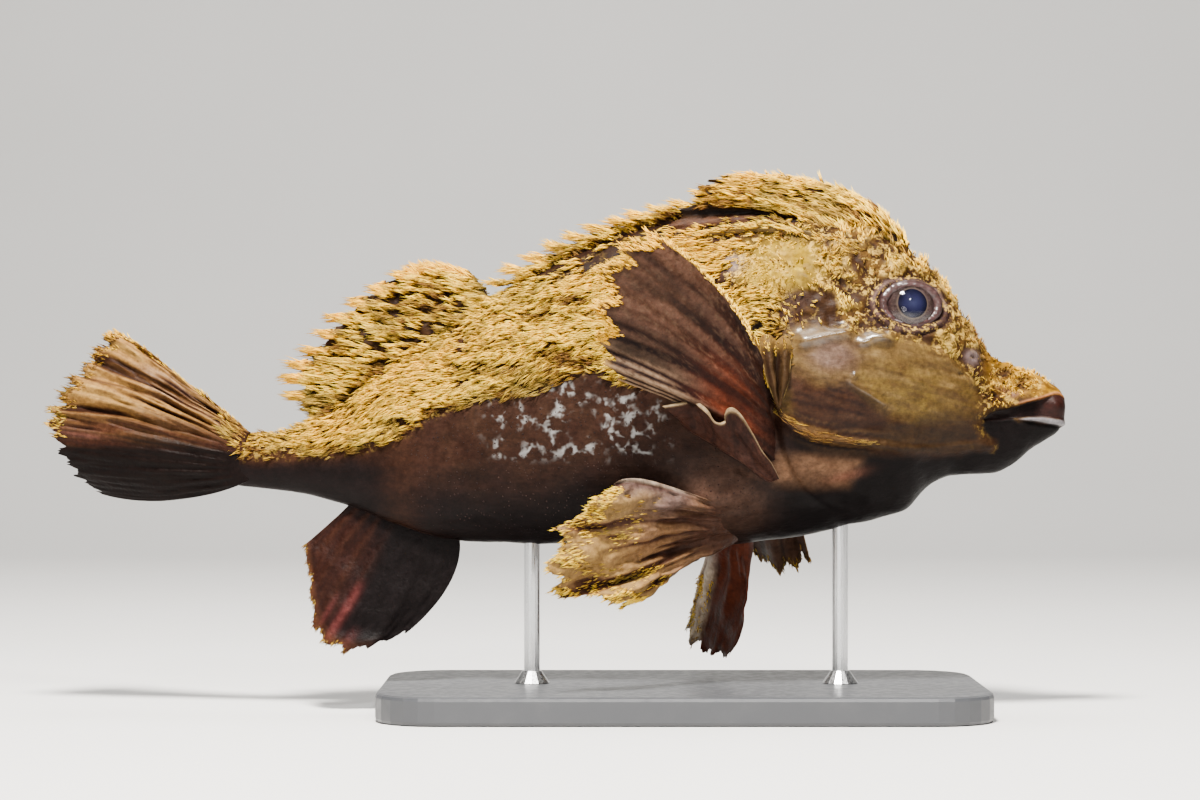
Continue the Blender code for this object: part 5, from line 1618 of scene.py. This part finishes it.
def on_skin(s, a):
    """Places on the skin's own relief, the normals there and the way towards the tail."""
    point = body_point(s, a)
    at = place(point)
    ahead = place(body_point(s + 0.5, a)) - at
    turn = place(body_point(s, a + 0.01)) - at
    normal = unit(np.cross(turn, ahead))
    relief, _ = skin_relief(point, a)
    return at + normal * (relief * MM)[:, None], normal, ahead


def cheek_strands(random):
    """Fibrous strands that run back along the lower edge of each cheek and thicken towards the gill."""
    parts = []
    for side in (-1, 1):
        number = STRANDS_A_CHEEK
        s = 144 - 52 * random.random(number) ** 1.6
        rear = step(92, 122, s)
        bundle = np.round(random.uniform(-1.4, 1.4, number)) * 2.2 * rear
        drop = 1.0 + bundle + random.normal(0, 0.7, number)
        a = body_angle(s, along_points(CHEEK_EDGE, s) + drop, side)
        at, normal, _ = on_skin(s, a)
        onward = s + 3.0
        after, _, _ = on_skin(onward, body_angle(onward, along_points(CHEEK_EDGE, onward) + 0.9 * drop, side))
        length = random.uniform(7.0, 12.0, number)
        tone = 0.12 * rear + 0.2 * lumps(at / MM, 9, 63) + random.normal(0, 0.10, number)
        parts.append(
            {
                "at": at,
                "normal": normal,
                "lie": unit(after - at),
                "length": length * MM,
                "lift": random.uniform(0.1, 0.6, number) * MM,
                "spread": np.full(number, 0.35 * MM),
                "width": (0.09 + 0.06 * rear) * MM,
                "tone": np.clip(tone, 0, 1),
                "rust": np.full(number, 0.15),
                "uv": body_uv(s, a),
                "count": np.full(number, 3),
            }
        )
    return joined(*parts)


def fin_clumps(
    fin, random, number, u_range, v_range, length, lift, tone,
    spray=0.0, trail=0.0, rust=0.0, slim=1.0, spikes=False, banded=0.0,
):
    """Clumps on both faces of a fin, which lie along its rays or trail back towards the tail.

    spray turns them across the rays, spikes gathers them on the rays and banded varies their tone.
    """
    guides, rays, _ = fin
    parts = []
    for face in (-1, 1):
        u = random.uniform(*u_range, number)
        if spikes:
            u = np.clip(np.round(u * (rays - 1)) / (rays - 1) + random.normal(0, 0.008, number), 0, 1)
        v = random.uniform(*v_range, number) * fin_margin(fin, u)
        middle, normal, half, _, _ = fin_sheet(fin, u, v)
        at = place(middle)
        small = 0.01
        along = unit(place(fin_middle(guides, u, v + small)) - place(fin_middle(guides, u, v)))
        before, after = np.clip(u - small, 0, 1), np.clip(u + small, 0, 1)
        across = unit(place(fin_middle(guides, after, v)) - place(fin_middle(guides, before, v)))
        normal = normal * face
        lie = unit(along + across * random.normal(spray, 0.16, number)[:, None])
        lie = unit(lie * (1 - trail) + np.array([-1.0, 0.0, 0.0]) * trail)
        scale = (0.65 + 0.7 * random.random(number)) * length
        shade = tone + 0.36 * lumps(middle, 10, 87) + random.normal(0, 0.18, number)
        shade = shade - 0.25 * step(0.45, 0.0, v)
        shade = shade + banded * pattern(u * 15, v * 2.6, 0, 88)
        across_map = 0.02 + 0.46 * u + (0.5 if face > 0 else 0)
        parts.append(
            {
                "at": at + normal * (half * MM)[:, None],
                "normal": normal,
                "lie": lie,
                "length": scale * MM,
                "lift": scale * lift * (0.4 + 1.2 * random.random(number)) * MM,
                "spread": np.full(number, (0.60 + 0.085 * length) * slim * MM),
                "width": np.full(number, (0.15 + 0.029 * length) * MM),
                "tone": np.clip(shade, 0, 1),
                "rust": np.clip(rust * (0.35 + 0.65 * step(0.55, 0.95, v)), 0, 1),
                "uv": np.column_stack([across_map, 0.02 + 0.94 * np.clip(v, 0, 1)]),
                "count": np.full(number, int(np.clip(2.6 + 0.60 * length * slim, 3, 11))),
            }
        )
    return joined(*parts)


def joined(*clumps):
    return {key: np.concatenate([clump[key] for clump in clumps]) for key in clumps[0]}


# Turf on the fins, by piece. Each row is a fin, how many clumps, their range across and along it, their
# length, lift and tone, and what else is not as plain
FIN_TURF = {
    "cheek_strands": [
        ("gill_flap_right", 90, (0.0, 1.0), (0.0, 0.22), 2.6, 0.35, 0.75, dict(rust=0.5)),
        ("gill_flap_left", 90, (0.0, 1.0), (0.0, 0.22), 2.6, 0.35, 0.75, dict(rust=0.5)),
        ("gill_flap_right", 40, (0.0, 0.04), (0.2, 0.75), 1.8, 0.3, 0.75, dict(spray=-0.5, slim=0.4)),
    ],
    "soft_dorsal_turf": [
        ("soft_dorsal_fin", 340, (0.0, 0.84), (0.04, 0.88), 9.0, 0.36, 0.64,
         dict(trail=0.85, slim=1.05, rust=0.3, banded=0.35)),
        ("soft_dorsal_fin", 60, (0.05, 0.93), (0.86, 0.98), 11.5, 0.16, 1.0,
         dict(trail=0.80, rust=1.0, spikes=True)),
        ("soft_dorsal_fin", 44, (0.0, 0.28), (0.80, 0.98), 9.0, 0.20, 0.95, dict(trail=0.30, rust=1.0)),
        ("soft_dorsal_fin", 60, (0.82, 1.0), (0.10, 0.92), 6.5, 0.25, 0.12, dict(trail=0.85)),
    ],
    "crest_turf": [
        ("dorsal_crest", 380, (0.02, 0.60), (0.08, 0.97), 8.5, 0.24, 0.58, dict(rust=0.7, banded=0.95)),
        ("dorsal_crest", 130, (0.0, 0.06), (0.15, 0.98), 6.0, 0.20, 0.95, dict(spray=-0.3, rust=1.0)),
        ("dorsal_crest", 150, (0.93, 1.0), (0.08, 0.90), 5.0, 0.25, 0.85, dict(rust=0.4, slim=0.7)),
        ("dorsal_crest", 24, (0.80, 0.85), (0.15, 0.85), 6.5, 0.25, 0.30, dict(slim=0.5)),
    ],
    "back_spine_turf": [
        ("spiny_dorsal_fin", 170, (0.05, 1.0), (0.62, 0.97), 7.5, 0.26, 0.55, dict(rust=0.5)),
        ("spiny_dorsal_fin", 130, (0.05, 1.0), (0.80, 0.99), 10.5, 0.12, 0.85,
         dict(spikes=True, slim=0.6, rust=0.9)),
        ("spiny_dorsal_fin", 60, (0.05, 1.0), (0.25, 0.62), 5.0, 0.30, 0.15, dict()),
    ],
    "caudal_turf": [
        ("caudal_fin", 60, (0.0, 0.03), (0.05, 0.95), 4.5, 0.10, 0.50, dict(spray=-0.1, slim=0.3, rust=0.4)),
        ("caudal_fin", 170, (0.0, 0.60), (0.92, 0.995), 5.0, 0.06, 0.30, dict(rust=0.8, slim=0.25)),
        ("caudal_fin", 60, (0.0, 0.34), (0.00, 0.16), 7.0, 0.08, 0.30, dict(rust=0.4, slim=0.35)),
    ],
    "pectoral_turf": [
        ("pectoral_fin_right", 250, (0.0, 0.72), (0.95, 0.995), 4.6, 0.20, 0.85, dict(rust=0.9, slim=0.6)),
        ("pectoral_fin_right", 110, (0.0, 0.015), (0.30, 0.95), 3.4, 0.3, 0.75,
         dict(spray=-0.4, rust=0.8, slim=0.5)),
        ("pectoral_fin_left", 120, (0.0, 1.0), (0.95, 0.995), 3.0, 0.22, 0.15, dict(slim=0.5)),
    ],
    "lower_fin_turf": [
        ("pelvic_fin_right", 560, (0.08, 1.0), (0.84, 0.99), 4.4, 0.16, 0.85, dict(slim=0.4, banded=0.4)),
        ("pelvic_fin_right", 520, (0.12, 0.95), (0.55, 0.90), 3.6, 0.12, 0.50, dict(slim=0.35, banded=0.7)),
        ("pelvic_fin_left", 220, (0.72, 1.0), (0.45, 0.99), 3.0, 0.22, 0.85, dict(slim=0.45)),
        ("anal_fin", 60, (0.35, 1.0), (0.96, 0.995), 2.6, 0.12, 0.05, dict(rust=0.3, slim=0.5)),
    ],
}


def build_all_turf(fins, gold):
    random = np.random.default_rng(COAT_SEED)
    build_turf("body_turf", body_clumps(random), gold, random)
    for name, rows in FIN_TURF.items():
        parts = [cheek_strands(random)] if name == "cheek_strands" else []
        parts += [fin_clumps(fins[fin], random, *numbers, **changes) for fin, *numbers, changes in rows]
        build_turf(name, joined(*parts), gold, random)


def build_fins(fins):
    material = fin_material()
    for name, fin in fins.items():
        piece = build_fin(name, fin, material)
        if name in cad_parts:
            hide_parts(name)


def papilla_tree(material):
    """Geometry Nodes that scatter low rounded papillae over a patch of skin."""
    tree = bpy.data.node_groups.new("papillae", "GeometryNodeTree")
    new = tree.interface.new_socket
    kinds = {"Skin": "Geometry", "Spacing": "Float", "Radius": "Float", "Seed": "Int"}
    sockets = {}
    for name, kind in kinds.items():
        sockets[name] = new(name, in_out="INPUT", socket_type="NodeSocket" + kind)
    new("Papillae", in_out="OUTPUT", socket_type="NodeSocketGeometry")
    given = add_node(tree, "NodeGroupInput")
    where = {"Mesh": given["Skin"], "Distance Min": given["Spacing"], "Seed": given["Seed"]}
    where["Density Max"] = PAPILLA_DENSITY
    points = add_node(tree, "GeometryNodeDistributePointsOnFaces", where, distribute_method="POISSON")
    bead = add_node(tree, "GeometryNodeMeshIcoSphere", {"Subdivisions": 1, "Radius": given["Radius"]})
    sizes = {0: PAPILLA_SIZES[0], 1: PAPILLA_SIZES[1], "Seed": given["Seed"]}
    size = add_node(tree, "FunctionNodeRandomValue", sizes, data_type="FLOAT_VECTOR")
    spread = {"Points": points["Points"], "Instance": bead["Mesh"], "Rotation": points["Rotation"]}
    beads = add_node(tree, "GeometryNodeInstanceOnPoints", spread | {"Scale": size[0]})
    solid = add_node(tree, "GeometryNodeRealizeInstances", {"Geometry": beads["Instances"]})
    finish = {"Geometry": solid["Geometry"], "Material": material}
    finished = add_node(tree, "GeometryNodeSetMaterial", finish)
    add_node(tree, "NodeGroupOutput", {0: finished["Geometry"]})
    return tree, {name: socket.identifier for name, socket in sockets.items()}


def papilla_material():
    """Dull maroon and brown beads, a little paler than the skin between them."""
    shader = Shader("papillae", roughness=0.5)
    blotches = shader.noise(60, 4, 0.6)
    colour = shader.ramp(
        blotches, (0.35, (0.007, 0.004, 0.004)), (0.60, (0.020, 0.010, 0.008)), (0.75, (0.045, 0.022, 0.014))
    )
    shader.set(Base_Color=colour, Specular_IOR_Level=0.06)
    return shader.material


def build_papillae():
    """Minute papillae on the bare skin of both lower flanks."""
    point, around, at, _ = skin_shape()
    s, h = point[..., 0], point[..., 2]
    bare = (coat_share(s, h) < 0.02) & (s > 152) & (s < 330) & (h > station(2, s) + 4)
    bare &= np.abs(np.sin(around)) > 0.35
    faces = ring_faces(*at.shape[:2])
    faces = faces[bare.ravel()[faces].all(axis=1)]
    used, places = np.unique(faces, return_inverse=True)
    material = papilla_material()
    patch = mesh_piece("papilla_patch", at.reshape(-1, 3)[used], places.reshape(-1, 4).tolist(), material)
    fix_normals(patch)
    tree, identifiers = papilla_tree(material)
    modifier = patch.modifiers.new("papillae", "NODES")
    modifier.node_group = tree
    modifier[identifiers["Spacing"]] = PAPILLA_SPACING
    modifier[identifiers["Radius"]] = PAPILLA_RADIUS
    modifier[identifiers["Seed"]] = COAT_SEED
    graph = bpy.context.evaluated_depsgraph_get()
    mesh = bpy.data.meshes.new_from_object(patch.evaluated_get(graph))
    bpy.data.objects.remove(patch)
    mesh.shade_smooth()
    piece = shown(bpy.data.objects.new("skin_papillae", mesh))
    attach(piece, "root")


def finish_stand():
    paint, steel = stand_material(), rod_material()
    for node, material in (("stand_base", paint), ("stand_rod_front", steel), ("stand_rod_rear", steel)):
        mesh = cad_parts[node].data
        mesh.materials.clear()
        mesh.materials.append(material)


def build_stage():
    """A pale floor that curves up into a plain backdrop."""
    turn = np.radians(np.linspace(0, 90, 16))
    profile = [(STAGE_FRONT, 0.0)]
    curve_y = STAGE_DEPTH - STAGE_CURVE
    profile += [(curve_y + STAGE_CURVE * math.sin(t), STAGE_CURVE - STAGE_CURVE * math.cos(t)) for t in turn]
    profile += [(STAGE_DEPTH, STAGE_HEIGHT)]
    points, faces = [], []
    for y, z in profile:
        points += [(-STAGE_WIDTH / 2, y, z), (STAGE_WIDTH / 2, y, z)]
    for n in range(len(profile) - 1):
        faces.append((2 * n, 2 * n + 1, 2 * n + 3, 2 * n + 2))
    mesh_piece("pale_stage", points, faces, stage_material())


def soft_light(name, location, size, power, colour, target):
    data = bpy.data.lights.new(name, "AREA")
    data.shape = "DISK"
    data.size = size
    data.energy = power
    data.color = colour
    light = shown(bpy.data.objects.new(name, data))
    light.location = location
    light.rotation_euler = (Vector(target) - Vector(location)).to_track_quat("-Z", "Y").to_euler()


def build_lights():
    """A strong key above the camera, a glint for the wet cheek, weak fills and a wash on the backdrop."""
    middle = (SNOUT_X - 0.23, 0.0, AXIS_HEIGHT)
    for light in FISH_LIGHTS:
        soft_light(*light, middle)
    soft_light("backdrop_wash", (0.0, 0.9, 2.9), 1.6, 54.0, (1.0, 0.99, 0.97), BACKDROP_AIM)
    world = bpy.data.worlds.new("soft_room")
    world.use_nodes = True
    background = world.node_tree.nodes["Background"]
    background.inputs["Color"].default_value = ROOM_COLOUR
    background.inputs["Strength"].default_value = ROOM_STRENGTH
    bpy.context.scene.world = world


def build_camera():
    data = bpy.data.cameras.new("camera")
    data.lens = CAMERA_LENS
    data.sensor_width = CAMERA_SENSOR
    data.clip_start = 0.05
    camera = shown(bpy.data.objects.new("camera", data))
    camera.location = (SNOUT_X - PHOTO_CENTRE_S * MM, -CAMERA_DISTANCE, AXIS_HEIGHT + PHOTO_CENTRE_H * MM)
    camera.rotation_euler = (math.radians(90), 0, 0)
    bpy.context.scene.camera = camera


def main():
    fins = fin_plan()
    build_skin(skin_material())
    build_eyes(eye_material(), cornea_material())
    build_fins(fins)
    build_all_turf(fins, turf_material())
    build_papillae()
    finish_stand()
    build_stage()
    build_lights()
    build_camera()


main()
